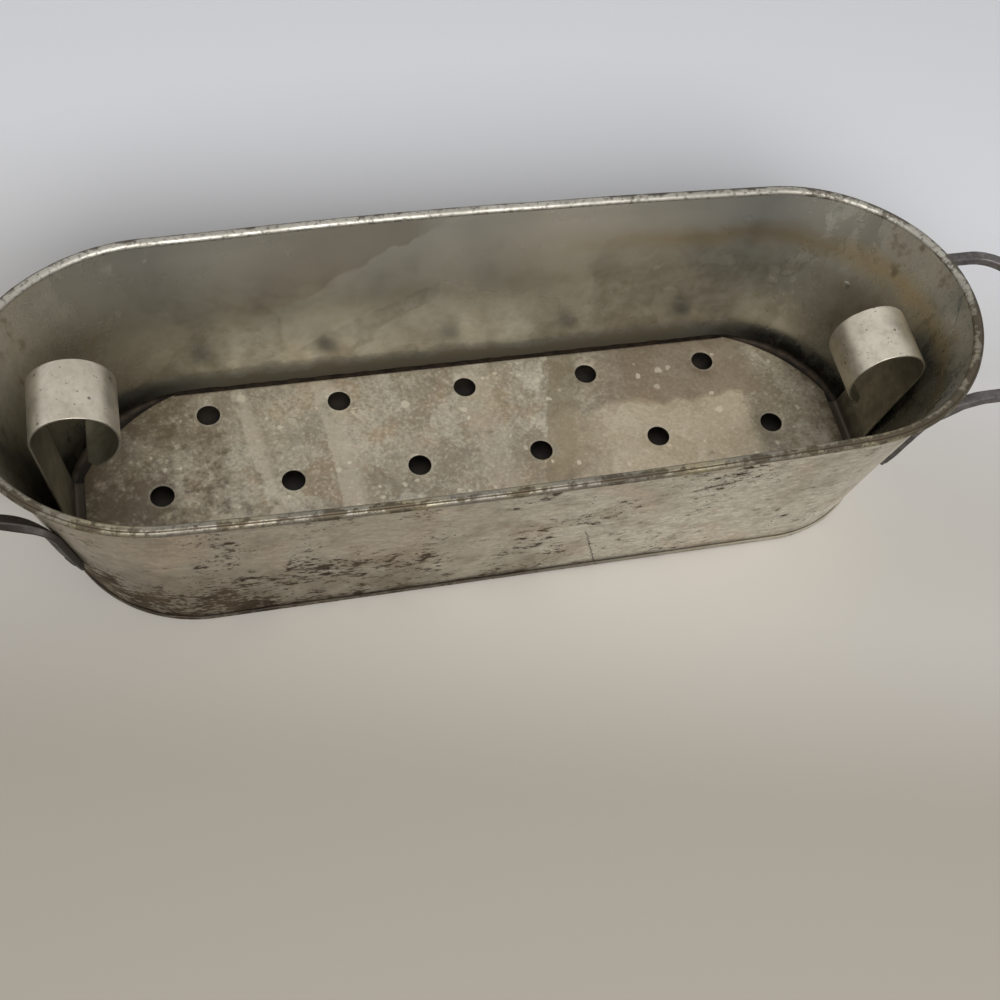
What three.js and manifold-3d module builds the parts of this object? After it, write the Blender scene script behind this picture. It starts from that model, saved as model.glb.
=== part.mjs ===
// Fish steamer: a long tinned sheet-iron pan with round ends, and the pierced rack that lifts out of it.
// Millimetres, +Z up. X runs along the pan, the front faces -Y, and the origin is under the middle of it.
import * as THREE from 'three';
import { mergeVertices } from 'three/addons/utils/BufferGeometryUtils.js';
import Module from 'manifold-3d';

const wasm = await Module();
wasm.setup();

const degree = Math.PI / 180;

// Sheet and clearances
const panSheet = 0.9;
const rackSheet = 1.0;
const gap = 0.3;

// Pan: its outside at the base, and at the rim, which the wall leans out to
const panHeight = 118;
const baseLength = 451;
const baseWidth = 143;
const baseEndReach = 72.5;
const endFlare = 28.5;
const sideFlare = 12;
const rimLength = baseLength + 2 * endFlare;
const rimWidth = baseWidth + 2 * sideFlare;
const rimEndReach = 91;
const rimSwell = 3.2;

// Rolled rim: the top edge of the sheet curls outward over a wire and stops short of the wall
const wireDiameter = 3;
const curlStop = -115 * degree;

// Base: the bottom sheet turns up outside the foot of the wall, and solder fills the corner inside.
// The flat and the turned edge are solids of their own, and so are the rack's plate and its folds.
const lipHeight = 4;
const bottomBend = 1.4;
const solderLeg = 2.5;

// Lap seam at each end: the rear wall steps inward and runs on behind the front wall
const lapWidth = 10;
const lapStep = 5;
const lapTopBelowRim = 12;
const lapFade = 5;
const seamSolderWidth = 2;

// Carrying handles: an iron bar bent to a loop, its two ends hammered flat and riveted down the wall
const barWidth = 6;
const barHeight = 5.6;
const barCorner = 1.2;
const tabCorner = 0.75;
const tabWidth = 11;
const tabThickness = 3.4;
const tabAngle = 42 * degree;
const tabFoot = 38;
const tabTop = 73;
const handleHeight = 85;
const handleHalfSpan = 46;
const handleReach = 61;
const handleCorner = 27;
const armStraightFrom = 4;
const bendRise = 9;
const bendRun = 17;
const hammeredFraction = 0.7;

// Rivets: a low round head outside, and an end spread flush with the inside of the wall
const rivetShank = 4;
const rivetHead = 8;
const rivetHeadHeight = 1.8;
const rivetSpread = 5.4;
const rivetFromTabFoot = 8;
const rivetSpacing = 20;
const rivetEdge = 0.55;
const rivetShoulder = 4.8;
const rivetShoulderHeight = 1.5;

// Rack: a plate with two long edges folded down, cut straight at the ends, with staggered holes
const rackEndClearance = 12.5;
const rackSideClearance = 7.5;
const rackLength = baseLength - 2 * rackEndClearance;
const rackWidth = baseWidth - 2 * rackSideClearance;
const rackHeight = 7;
const rackBend = 1.5;
const rackEndWidth = 34;
const rackCornerRun = 51;
const rackSideLength = rackLength - 2 * rackCornerRun;
const rackCornerRadius = 97;
const holeDiameter = 12.7;
const middleHoles = 6;
const middleRowMargin = 39.25;
const outerHoles = 5;
const outerRowMargin = 68;
const rowFromSide = 16;

// Grips: a strip bent up at each end of the rack and curled inward, opening out towards its free end,
// with its foot soldered under the plate
const gripSheet = 1.2;
const gripWidth = 33;
const gripStandOff = 5.6;
const gripFoot = 15;
const gripBend = 2.2;
const curlRadius = 20.5;
const curlTurn = 180 * degree;
const tailRadius = 26.6;
const tailTurn = 75 * degree;
const curlChamfer = 5;
const gripLeft = { leg: 87, lean: 3.6 * degree, offset: -1.5 };
const gripRight = { leg: 67, lean: 10.2 * degree, offset: -6.5 };
const footSolderWidth = 26;
const footSolderRun = 2;

// How finely the curves are drawn
const endSteps = 12;
const sideSteps = 6;
const wireSides = 8;
const holeSides = 20;
const rivetSides = 12;

// Sizes that follow from the ones above
const beadRadius = wireDiameter / 2 + gap + panSheet;
const beadCentre = panHeight - beadRadius;
const wallFoot = bottomBend + gap;
const foldOut = panSheet + gap;
const bottomBendStart = foldOut - bottomBend;
const solderFoot = panSheet + gap;
const solderTop = solderFoot + solderLeg;
const lapBottom = solderTop + gap;
const lapTop = panHeight - lapTopBelowRim;
const rackFoot = panSheet + gap;
const rackTop = rackFoot + rackHeight;
const rackUnder = rackTop - rackSheet;
const gripFootTop = rackUnder - gap;
const gripFootMiddle = gripFootTop - gripSheet / 2;

// The outer face of the wall, at the ground and at the centre of the rim wire, as half sizes
const footOval = {
  length: baseLength / 2 - foldOut,
  width: baseWidth / 2 - foldOut,
  reach: baseEndReach - foldOut,
  swell: 0,
};
const rimInset = 2 * beadRadius - panSheet;
const topOval = {
  length: rimLength / 2 - rimInset,
  width: rimWidth / 2 - rimInset,
  reach: rimEndReach - rimInset,
  swell: rimSwell,
};

const finishes = {
  tinnedWall: { color: 0xa09886, roughness: 0.45, metalness: 0.9 },
  tinnedRack: { color: 0x9c9184, roughness: 0.5, metalness: 0.9 },
  tinnedGrip: { color: 0xb9b5a8, roughness: 0.4, metalness: 0.9 },
  darkIron: { color: 0x4f4b49, roughness: 0.6, metalness: 0.8 },
  solder: { color: 0xa8a49a, roughness: 0.55, metalness: 0.85 },
  wire: { color: 0x6f6a60, roughness: 0.5, metalness: 0.9 },
};

// The wall's outer oval at a height, grown outward by some distance
function wallOval(z, grow) {
  const t = z / beadCentre;
  const mix = (key) => footOval[key] + (topOval[key] - footOval[key]) * t;
  return {
    length: mix('length') + grow,
    width: mix('width') + grow,
    reach: mix('reach') + grow,
    swell: mix('swell'),
  };
}

// A point on the round end of an oval: the angle is zero at the tip of the end on the given side
function endPoint(oval, side, angle) {
  const x = oval.length - oval.reach + oval.reach * Math.cos(angle);
  return new THREE.Vector2(side * x, oval.width * Math.sin(angle));
}

// A point on the long side of an oval: the fraction runs from 1 at the right to -1 at the left
function sidePoint(oval, face, fraction) {
  const x = (oval.length - oval.reach) * fraction;
  const y = oval.width + oval.swell * (1 - fraction * fraction);
  return new THREE.Vector2(x, face * y);
}

// Stations along one half of the oval, from one tip to the other, starting some angle past the tip
function halfStations(face, tipAngles) {
  const angles = [...tipAngles];
  const last = Math.PI / 2;
  for (let i = 1; i <= endSteps; i += 1) {
    angles.push((last * i) / endSteps);
  }
  const right = angles.map((angle) => (oval) => endPoint(oval, 1, face * angle));
  const left = angles.map((angle) => (oval) => endPoint(oval, -1, face * angle)).reverse();
  const along = [];
  for (let i = 1; i < sideSteps; i += 1) {
    along.push((oval) => sidePoint(oval, face, 1 - (2 * i) / sideSteps));
  }
  return [...right, ...along, ...left];
}

// Stations all round the oval, from the right tip by the front
function roundStations() {
  const front = halfStations(-1, [0]);
  const rear = halfStations(1, [0]);
  return [...front, ...rear.reverse().slice(1, -1)];
}

// Triangles of a flat loop of points, seen along its own normal
function capTriangles(loop) {
  const normal = new THREE.Vector3();
  loop.forEach((point, i) => {
    const next = loop[(i + 1) % loop.length];
    normal.add(new THREE.Vector3().crossVectors(point, next));
  });
  normal.normalize();
  const across = new THREE.Vector3(0, 0, 1).cross(normal);
  if (across.length() < 0.1) {
    across.set(1, 0, 0);
  }
  across.normalize();
  const up = new THREE.Vector3().crossVectors(normal, across);
  const flat = loop.map((point) => new THREE.Vector2(point.dot(across), point.dot(up)));
  return THREE.ShapeUtils.triangulateShape(flat, []);
}

// A closed body over a row of loops of points: the row ends in flat caps, or joins up with its start
function skin(loops, joined = false) {
  const size = loops[0].length;
  const positions = loops.flat().flatMap((point) => [point.x, point.y, point.z]);
  const triangles = [];
  const bands = joined ? loops.length : loops.length - 1;
  for (let i = 0; i < bands; i += 1) {
    const near = i * size;
    const far = ((i + 1) % loops.length) * size;
    for (let j = 0; j < size; j += 1) {
      const k = (j + 1) % size;
      triangles.push([near + j, near + k, far + k], [near + j, far + k, far + j]);
    }
  }
  if (!joined) {
    const lastLoop = (loops.length - 1) * size;
    capTriangles(loops[0]).forEach(([a, b, c]) => triangles.push([a, c, b]));
    capTriangles(loops[loops.length - 1]).forEach(([a, b, c]) => {
      triangles.push([lastLoop + a, lastLoop + b, lastLoop + c]);
    });
  }
  return facingOut(positions, triangles);
}

// The volume inside a set of triangles, negative where they face inward
function signedVolume(positions, triangles) {
  const at = (i) => new THREE.Vector3().fromArray(positions, 3 * i);
  return triangles.reduce((sum, [a, b, c]) => sum + at(a).dot(at(b).cross(at(c))) / 6, 0);
}

function facingOut(positions, triangles) {
  const flip = signedVolume(positions, triangles) < 0;
  const index = triangles.flatMap(([a, b, c]) => (flip ? [a, c, b] : [a, b, c]));
  const geometry = new THREE.BufferGeometry();
  geometry.setAttribute('position', new THREE.Float32BufferAttribute(positions, 3));
  geometry.setIndex(index);
  geometry.computeVertexNormals();
  return geometry;
}

// Boolean cuts
function toSolid(geometry) {
  const plain = geometry.clone();
  plain.deleteAttribute('normal');
  plain.deleteAttribute('uv');
  const merged = mergeVertices(plain, 1e-4);
  const vertProperties = new Float32Array(merged.attributes.position.array);
  const triVerts = new Uint32Array(merged.index.array);
  return new wasm.Manifold(new wasm.Mesh({ numProp: 3, vertProperties, triVerts }));
}

function toGeometry(solid) {
  const mesh = solid.getMesh();
  const geometry = new THREE.BufferGeometry();
  geometry.setAttribute('position', new THREE.BufferAttribute(new Float32Array(mesh.vertProperties), 3));
  geometry.setIndex(new THREE.BufferAttribute(new Uint32Array(mesh.triVerts), 1));
  geometry.computeVertexNormals();
  return geometry;
}

function cut(geometry, tools) {
  return toGeometry(tools.reduce((solid, tool) => solid.subtract(toSolid(tool)), toSolid(geometry)));
}

function box(xRange, yRange, zRange) {
  const size = [xRange, yRange, zRange].map(([from, to]) => to - from);
  const middle = [xRange, yRange, zRange].map(([from, to]) => (from + to) / 2);
  return new THREE.BoxGeometry(...size).translate(...middle);
}

function smooth(t) {
  const c = Math.min(Math.max(t, 0), 1);
  return c * c * (3 - 2 * c);
}

function mesh(name, geometry, finish) {
  const made = new THREE.Mesh(geometry, new THREE.MeshStandardMaterial(finish));
  made.name = name;
  return made;
}

// The wall's own section: up the inside, out over the wire, back under it, and down the outside
function wallSection() {
  const centreOut = beadRadius - panSheet;
  const arc = (radius, from, to, steps) => {
    const points = [];
    for (let i = 0; i <= steps; i += 1) {
      const angle = from + ((to - from) * i) / steps;
      const out = centreOut + radius * Math.cos(angle);
      points.push({ out, z: beadCentre + radius * Math.sin(angle) });
    }
    return points;
  };
  const heights = [wallFoot, lapBottom, lapBottom + lapFade, lapTop - lapFade, lapTop];
  const inside = heights.map((z) => ({ out: -panSheet, z }));
  const outside = heights.map((z) => ({ out: 0, z })).reverse();
  const over = arc(beadRadius, Math.PI, curlStop, 11);
  const under = arc(beadRadius - panSheet, curlStop, Math.PI, 8);
  return [...inside, ...over, ...under, ...outside];
}

// One half of the wall. The lapped half steps inward near its ends, clear of the rim and the foot.
function wallHalf(face, tipAngles, lapped) {
  const section = wallSection();
  const loops = halfStations(face, tipAngles).map((station) => section.map(({ out, z }) => {
    const level = Math.min(z, beadCentre);
    const plain = station(wallOval(level, out));
    const nearTip = smooth(1 - (face * plain.y) / lapStep);
    const clear = smooth((lapTop - z) / lapFade) * smooth((z - lapBottom) / lapFade);
    const inward = lapped ? (panSheet + gap) * nearTip * clear : 0;
    const placed = station(wallOval(level, out - inward));
    return new THREE.Vector3(placed.x, placed.y, z);
  }));
  return skin(loops);
}

// Angle on the wall's round end that lies some distance along from the tip
function tipAngle(distance) {
  return Math.asin(distance / footOval.width);
}

function wallFront(holes) {
  const shell = wallHalf(-1, [tipAngle(gap / 2)], false);
  return cut(shell, holes);
}

function wallRear(holes) {
  const past = tipAngle(lapWidth);
  const step = tipAngle(lapStep);
  const shell = wallHalf(1, [-past, 0, step / 2, step], true);
  const reach = panHeight + rimLength;
  const lapEnd = -2 * lapWidth;
  const trims = [
    box([-reach, reach], [lapEnd, gap / 2], [lapTop - lapFade, reach]),
    box([-reach, reach], [lapEnd, gap / 2], [-reach, lapBottom + lapFade]),
  ];
  return cut(shell, [...trims, ...holes]);
}

function rimWire() {
  const centreOut = beadRadius - panSheet;
  const loops = roundStations().map((station) => {
    const loop = [];
    for (let i = 0; i < wireSides; i += 1) {
      const angle = (2 * Math.PI * i) / wireSides;
      const out = centreOut + (wireDiameter / 2) * Math.cos(angle);
      const placed = station(wallOval(beadCentre, out));
      loop.push(new THREE.Vector3(placed.x, placed.y, beadCentre + (wireDiameter / 2) * Math.sin(angle)));
    }
    return loop;
  });
  return skin(loops, true);
}

// Loops round the pan, one for each point of a section given as distance out from the wall and height
function ringLoops(section) {
  return section.map(({ out, z }) => roundStations().map((station) => {
    const placed = station(wallOval(z, out));
    return new THREE.Vector3(placed.x, placed.y, z);
  }));
}

// The flat of the bottom sheet, out to the start of its bend
function panBottom() {
  const edge = bottomBendStart - gap;
  return skin(ringLoops([{ out: edge, z: 0 }, { out: edge, z: panSheet }]));
}

// The edge of the bottom sheet: its bend and the lip that stands round the foot of the wall
function bottomLip() {
  const bend = bottomBend * (1 - Math.SQRT1_2);
  return skin(ringLoops([
    { out: bottomBendStart, z: 0 },
    { out: bottomBendStart, z: panSheet },
    { out: gap, z: bottomBend },
    { out: gap, z: lipHeight },
    { out: foldOut, z: lipHeight },
    { out: foldOut, z: bottomBend },
    { out: foldOut - bend, z: bend },
  ]), true);
}

// The fillet of solder in the corner between the wall and the bottom
function bottomSolder() {
  const face = -panSheet - gap;
  return skin(ringLoops([
    { out: face, z: solderFoot },
    { out: face, z: solderTop },
    { out: face - solderLeg, z: solderFoot },
  ]), true);
}

// A run of solder up the inside edge of the lap seam
function seamSolder(side) {
  const from = tipAngle(lapWidth + gap);
  const to = tipAngle(lapWidth + gap + seamSolderWidth);
  const thick = panSheet + gap;
  const loops = [lapBottom + lapFade, lapTop - lapFade].map((z) => [
    { angle: from, out: -panSheet - gap },
    { angle: to, out: -panSheet - gap },
    { angle: from, out: -panSheet - gap - thick },
  ].map(({ angle, out }) => {
    const placed = endPoint(wallOval(z, out), side, -angle);
    return new THREE.Vector3(placed.x, placed.y, z);
  }));
  return skin(loops);
}

// Where the wall's outer face lies on a round end, and which way it faces there
function wallFrame(side, angle, z) {
  const at = (a, height) => {
    const placed = endPoint(wallOval(height, 0), side, a);
    return new THREE.Vector3(placed.x, placed.y, height);
  };
  const step = 0.01;
  const point = at(angle, z);
  const up = at(angle, z + step).sub(point).normalize();
  const along = at(angle + step, z).sub(at(angle - step, z)).normalize();
  const normal = new THREE.Vector3().crossVectors(along, up).multiplyScalar(side);
  return { point, up, normal: normal.normalize() };
}

// The centre line of half a handle, from the foot of one tab out to the middle of the loop
function handleHalf(side, face) {
  const angle = face * tabAngle;
  const tabOut = gap + tabThickness / 2;
  const onTab = (z) => {
    const { point, normal, up } = wallFrame(side, angle, z);
    const place = point.clone().addScaledVector(normal, tabOut);
    return { place, along: up, facing: normal, width: tabWidth, thickness: tabThickness, corner: tabCorner };
  };
  const top = onTab(tabTop);
  const armY = face * handleHalfSpan;
  const armX = rimLength / 2 + armStraightFrom;
  const outward = new THREE.Vector3(side, 0, 0);
  const armStart = new THREE.Vector3(side * armX, armY, handleHeight);
  const bend = new THREE.CubicBezierCurve3(
    top.place,
    top.place.clone().addScaledVector(top.along, bendRise),
    armStart.clone().addScaledVector(outward, -bendRun),
    armStart,
  );
  const down = new THREE.Vector3(0, 0, -1);
  const steps = 9;
  const half = [onTab(tabFoot), onTab((tabFoot + tabTop) / 2), top];
  for (let i = 1; i <= steps; i += 1) {
    const t = i / steps;
    const facing = top.facing.clone().lerp(down, smooth(t));
    const worked = smooth(t / hammeredFraction);
    const width = THREE.MathUtils.lerp(tabWidth, barWidth, worked);
    const thickness = THREE.MathUtils.lerp(tabThickness, barHeight, worked);
    const corner = THREE.MathUtils.lerp(tabCorner, barCorner, worked);
    half.push({ place: bend.getPoint(t), along: bend.getTangent(t), facing, width, thickness, corner });
  }
  const cornerX = rimLength / 2 + handleReach - barWidth / 2 - handleCorner;
  const cornerY = face * (handleHalfSpan - handleCorner);
  const cornerSteps = 6;
  for (let i = 0; i <= cornerSteps; i += 1) {
    const turn = (Math.PI / 2) * (i / cornerSteps);
    const place = new THREE.Vector3(
      side * (cornerX + handleCorner * Math.sin(turn)),
      cornerY + face * handleCorner * Math.cos(turn),
      handleHeight,
    );
    const along = new THREE.Vector3(side * Math.cos(turn), -face * Math.sin(turn), 0);
    half.push({
      place, along, facing: down.clone(), width: barWidth, thickness: barHeight, corner: barCorner,
    });
  }
  return half;
}

// A bar's section: a rectangle with its corners taken off
function barLoop({ place, along, facing, width, thickness, corner }) {
  const forward = along.clone().normalize();
  const thick = facing.clone().addScaledVector(forward, -facing.dot(forward)).normalize();
  const wide = new THREE.Vector3().crossVectors(forward, thick);
  const w = width / 2;
  const t = thickness / 2;
  const outline = [
    [w - corner, t], [w, t - corner], [w, corner - t], [w - corner, -t],
    [corner - w, -t], [-w, corner - t], [-w, t - corner], [corner - w, t],
  ];
  return outline.map(([a, b]) => place.clone().addScaledVector(wide, a).addScaledVector(thick, b));
}

function handle(side, holes) {
  const near = handleHalf(side, -1).map(barLoop);
  const mirrored = (loop) => loop.map((point) => new THREE.Vector3(point.x, -point.y, point.z));
  const far = near.map(mirrored).reverse();
  return cut(skin([...near, ...far]), holes);
}

// Where the rivets of one handle sit: two on each tab
function rivetFrames(side) {
  const frames = [];
  [-1, 1].forEach((face) => {
    [0, 1].forEach((row) => {
      const z = tabFoot + rivetFromTabFoot + row * rivetSpacing;
      frames.push(wallFrame(side, face * tabAngle, z));
    });
  });
  return frames;
}

// Turns a shape made along +Y so that it points along the wall's outward normal, from the outer face
function onWall(geometry, { point, normal }) {
  const turn = new THREE.Quaternion().setFromUnitVectors(new THREE.Vector3(0, 1, 0), normal);
  return geometry.clone().applyQuaternion(turn).translate(point.x, point.y, point.z);
}

function rivet(frame) {
  const seat = gap + tabThickness + gap;
  const profile = [
    [0, -panSheet], [rivetSpread / 2, -panSheet], [rivetShank / 2, 0],
    [rivetShank / 2, seat], [rivetHead / 2, seat], [rivetHead / 2, seat + rivetEdge],
    [rivetShoulder / 2, seat + rivetShoulderHeight], [0, seat + rivetHeadHeight],
  ].map(([radius, height]) => new THREE.Vector2(radius, height));
  return onWall(new THREE.LatheGeometry(profile, rivetSides), frame);
}

function rivetHole(frame) {
  const reach = 3 * tabThickness;
  const radius = rivetShank / 2 + gap;
  const shaft = new THREE.CylinderGeometry(radius, radius, 2 * reach, rivetSides);
  return onWall(shaft, frame);
}

// The wall's own hole is wider than the tab's, for the spread end
function wallHole(frame) {
  const radius = rivetSpread / 2 + gap;
  const depth = 2 * panSheet;
  const shaft = new THREE.CylinderGeometry(radius, radius, 2 * depth, rivetSides);
  return onWall(shaft, frame);
}

// The plate's outline in plan: arcs at the four corners, short straight ends, and long sides
// that stop short of the rack's full width, where the folded edges take over
function rackOutline() {
  const corner = new THREE.Vector2(rackSideLength / 2, rackWidth / 2);
  const end = new THREE.Vector2(rackLength / 2, rackEndWidth / 2);
  const middle = corner.clone().add(end).multiplyScalar(0.5);
  const chord = end.clone().sub(corner);
  const back = Math.sqrt(rackCornerRadius ** 2 - (chord.length() / 2) ** 2);
  const inward = new THREE.Vector2(chord.y, -chord.x).normalize();
  const centre = middle.clone().addScaledVector(inward, back);
  const from = Math.atan2(corner.y - centre.y, corner.x - centre.x);
  const to = Math.atan2(end.y - centre.y, end.x - centre.x);
  const steps = 8;
  const quarter = [];
  for (let i = 0; i <= steps; i += 1) {
    const angle = from + ((to - from) * i) / steps;
    const x = centre.x + rackCornerRadius * Math.cos(angle);
    quarter.push(new THREE.Vector2(x, centre.y + rackCornerRadius * Math.sin(angle)));
  }
  quarter.unshift(new THREE.Vector2(rackSideLength / 2, rackWidth / 2 - rackBend - gap));
  const mirror = (points, sx, sy) => points.map(({ x, y }) => new THREE.Vector2(sx * x, sy * y));
  return [
    ...mirror(quarter, 1, -1),
    ...mirror(quarter, 1, 1).reverse(),
    ...mirror(quarter, -1, 1),
    ...mirror(quarter, -1, -1).reverse(),
  ];
}

// Centres of the holes: a middle row, and a shorter row on each side that falls between them,
// each spread evenly between its margins at the two ends of the rack
function holeCentres() {
  const row = (count, margin, y) => {
    const pitch = (rackLength - 2 * margin) / (count - 1);
    const centres = [];
    for (let i = 0; i < count; i += 1) {
      centres.push(new THREE.Vector2((i - (count - 1) / 2) * pitch, y));
    }
    return centres;
  };
  return [
    ...row(middleHoles, middleRowMargin, 0),
    ...row(outerHoles, outerRowMargin, rackWidth / 2 - rowFromSide),
    ...row(outerHoles, outerRowMargin, rowFromSide - rackWidth / 2),
  ];
}

function rackPlate() {
  const shape = new THREE.Shape(rackOutline());
  shape.holes = holeCentres().map((centre) => new THREE.Path(holeOutline(centre)));
  const options = { depth: rackSheet, bevelEnabled: false };
  return new THREE.ExtrudeGeometry(shape, options).translate(0, 0, rackUnder);
}

function holeOutline(centre) {
  const points = [];
  for (let i = 0; i < holeSides; i += 1) {
    const angle = (2 * Math.PI * i) / holeSides;
    const spoke = new THREE.Vector2(Math.cos(angle), Math.sin(angle));
    points.push(spoke.multiplyScalar(holeDiameter / 2).add(centre));
  }
  return points;
}

// The bend and the standing flange along one long edge of the rack
function rackFold(face) {
  const half = rackSideLength / 2 - gap;
  const section = foldSection();
  const loops = [-half, half].map((x) => section.map(([y, z]) => new THREE.Vector3(x, face * y, z)));
  return skin(loops);
}

// Section of a fold, from the edge of the plate round the bend to the foot of the flange
function foldSection() {
  const edge = rackWidth / 2;
  const centre = [edge - rackBend, rackTop - rackBend];
  const steps = 4;
  const bend = (radius, from, to) => {
    const points = [];
    for (let i = 0; i <= steps; i += 1) {
      const angle = from + ((to - from) * i) / steps;
      points.push([centre[0] + radius * Math.cos(angle), centre[1] + radius * Math.sin(angle)]);
    }
    return points;
  };
  return [
    ...bend(rackBend, Math.PI / 2, 0),
    [edge, rackFoot],
    [edge - rackSheet, rackFoot],
    ...bend(rackBend - rackSheet, 0, Math.PI / 2),
  ];
}

// The grip's centre line seen from the front, from under the plate, round the bend, up and over the curl
function gripLine({ leg, lean }) {
  const legX = rackLength / 2 + gripStandOff + gripSheet / 2;
  const turn = Math.PI / 2 - lean;
  const trim = gripBend * Math.tan(turn / 2);
  const cornerX = legX - (rackTop - gripFootMiddle) * Math.tan(lean);
  const line = [{ x: rackLength / 2 - gripFoot, z: gripFootMiddle, angle: 0 }];
  const bendCentre = { x: cornerX - trim, z: gripFootMiddle + gripBend };
  const bendSteps = 4;
  for (let i = 0; i <= bendSteps; i += 1) {
    const angle = (turn * i) / bendSteps;
    line.push({
      x: bendCentre.x + gripBend * Math.sin(angle),
      z: bendCentre.z - gripBend * Math.cos(angle),
      angle,
    });
  }
  const radius = curlRadius - gripSheet / 2;
  const top = { x: legX + leg * Math.sin(lean), z: rackTop + leg * Math.cos(lean) };
  const centre = { x: top.x - radius * Math.cos(lean), z: top.z + radius * Math.sin(lean) };
  const curlSteps = 14;
  for (let i = 0; i <= curlSteps; i += 1) {
    line.push(curlPoint(centre, radius, turn + (curlTurn * i) / curlSteps));
  }
  const tail = tailRadius - gripSheet / 2;
  const turned = turn + curlTurn;
  const tailCentre = curlPoint(centre, radius - tail, turned);
  const tailSteps = 6;
  const chamferTurn = curlChamfer / tail;
  for (let i = 1; i <= tailSteps; i += 1) {
    line.push(curlPoint(tailCentre, tail, turned + ((tailTurn - chamferTurn) * i) / tailSteps));
  }
  line.push({ ...curlPoint(tailCentre, tail, turned + tailTurn), narrow: curlChamfer });
  return line;
}

function curlPoint(centre, radius, angle) {
  return { x: centre.x + radius * Math.sin(angle), z: centre.z - radius * Math.cos(angle), angle };
}

function grip(side, sizes) {
  const loops = gripLine(sizes).map(({ x, z, angle, narrow = 0 }) => {
    const halfWidth = gripWidth / 2 - narrow;
    const out = { x: Math.sin(angle), z: -Math.cos(angle) };
    const corner = (y, offset) => new THREE.Vector3(
      side * (x + offset * out.x),
      sizes.offset + y,
      z + offset * out.z,
    );
    const half = gripSheet / 2;
    return [
      corner(-halfWidth, -half), corner(halfWidth, -half), corner(halfWidth, half), corner(-halfWidth, half),
    ];
  });
  return skin(loops);
}

// Solder between the inner end of the grip's foot and the underside of the rack
function gripSolder(side, { offset }) {
  const inner = rackLength / 2 - gripFoot - gap;
  const top = rackUnder - gap;
  const bottom = gripFootTop - gripSheet;
  const profile = [[inner, top], [inner, bottom], [inner - footSolderRun, top]];
  const loops = [-1, 1].map((face) => profile.map(([x, z]) => (
    new THREE.Vector3(side * x, offset + face * (footSolderWidth / 2), z)
  )));
  return skin(loops);
}

function makePan() {
  const pan = new THREE.Group();
  const leftFrames = rivetFrames(-1);
  const rightFrames = rivetFrames(1);
  const frames = [...leftFrames, ...rightFrames];
  const holesOn = (face) => frames.filter(({ point }) => point.y * face > 0).map(wallHole);
  pan.add(mesh('wall_front', wallFront(holesOn(-1)), finishes.tinnedWall));
  pan.add(mesh('wall_rear', wallRear(holesOn(1)), finishes.tinnedWall));
  pan.add(mesh('rim_wire', rimWire(), finishes.wire));
  pan.add(mesh('pan_bottom', panBottom(), finishes.tinnedWall));
  pan.add(mesh('bottom_lip', bottomLip(), finishes.tinnedWall));
  pan.add(mesh('bottom_solder', bottomSolder(), finishes.solder));
  pan.add(mesh('seam_solder_left', seamSolder(-1), finishes.solder));
  pan.add(mesh('seam_solder_right', seamSolder(1), finishes.solder));
  pan.add(mesh('handle_left', handle(-1, leftFrames.map(rivetHole)), finishes.darkIron));
  pan.add(mesh('handle_right', handle(1, rightFrames.map(rivetHole)), finishes.darkIron));
  const corners = ['front_lower', 'front_upper', 'rear_lower', 'rear_upper'];
  [['left', leftFrames], ['right', rightFrames]].forEach(([side, list]) => {
    list.forEach((frame, i) => {
      pan.add(mesh(`rivet_${side}_${corners[i]}`, rivet(frame), finishes.darkIron));
    });
  });
  return pan;
}

function makeRack() {
  const rack = new THREE.Group();
  rack.add(mesh('rack_plate', rackPlate(), finishes.tinnedRack));
  rack.add(mesh('rack_fold_front', rackFold(-1), finishes.tinnedRack));
  rack.add(mesh('rack_fold_rear', rackFold(1), finishes.tinnedRack));
  rack.add(mesh('grip_left', grip(-1, gripLeft), finishes.tinnedGrip));
  rack.add(mesh('grip_right', grip(1, gripRight), finishes.tinnedGrip));
  rack.add(mesh('grip_solder_left', gripSolder(-1, gripLeft), finishes.solder));
  rack.add(mesh('grip_solder_right', gripSolder(1, gripRight), finishes.solder));
  return rack;
}

const steamer = new THREE.Group();
steamer.add(makePan());
steamer.add(makeRack());

export default steamer;
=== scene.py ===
import math

import bmesh
import bpy
from mathutils import Matrix, Vector, noise


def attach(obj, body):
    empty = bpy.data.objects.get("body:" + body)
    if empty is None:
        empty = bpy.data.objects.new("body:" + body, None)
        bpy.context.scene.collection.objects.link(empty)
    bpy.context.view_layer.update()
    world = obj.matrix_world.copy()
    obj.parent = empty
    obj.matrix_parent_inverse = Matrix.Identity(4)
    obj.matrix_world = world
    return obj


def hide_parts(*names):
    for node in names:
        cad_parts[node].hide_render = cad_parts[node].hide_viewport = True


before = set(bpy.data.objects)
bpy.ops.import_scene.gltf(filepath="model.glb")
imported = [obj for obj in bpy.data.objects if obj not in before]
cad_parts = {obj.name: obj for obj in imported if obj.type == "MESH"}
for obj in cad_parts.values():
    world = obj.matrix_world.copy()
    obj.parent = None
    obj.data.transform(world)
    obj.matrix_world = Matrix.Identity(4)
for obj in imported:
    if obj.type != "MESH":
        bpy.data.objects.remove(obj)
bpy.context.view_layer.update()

MM = 0.001
DEGREE = math.pi / 180
RIGHT_ANGLE = math.pi / 2

# Points that lie closer together than this are one, in millimetres
SAME_POINT = 0.002

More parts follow.
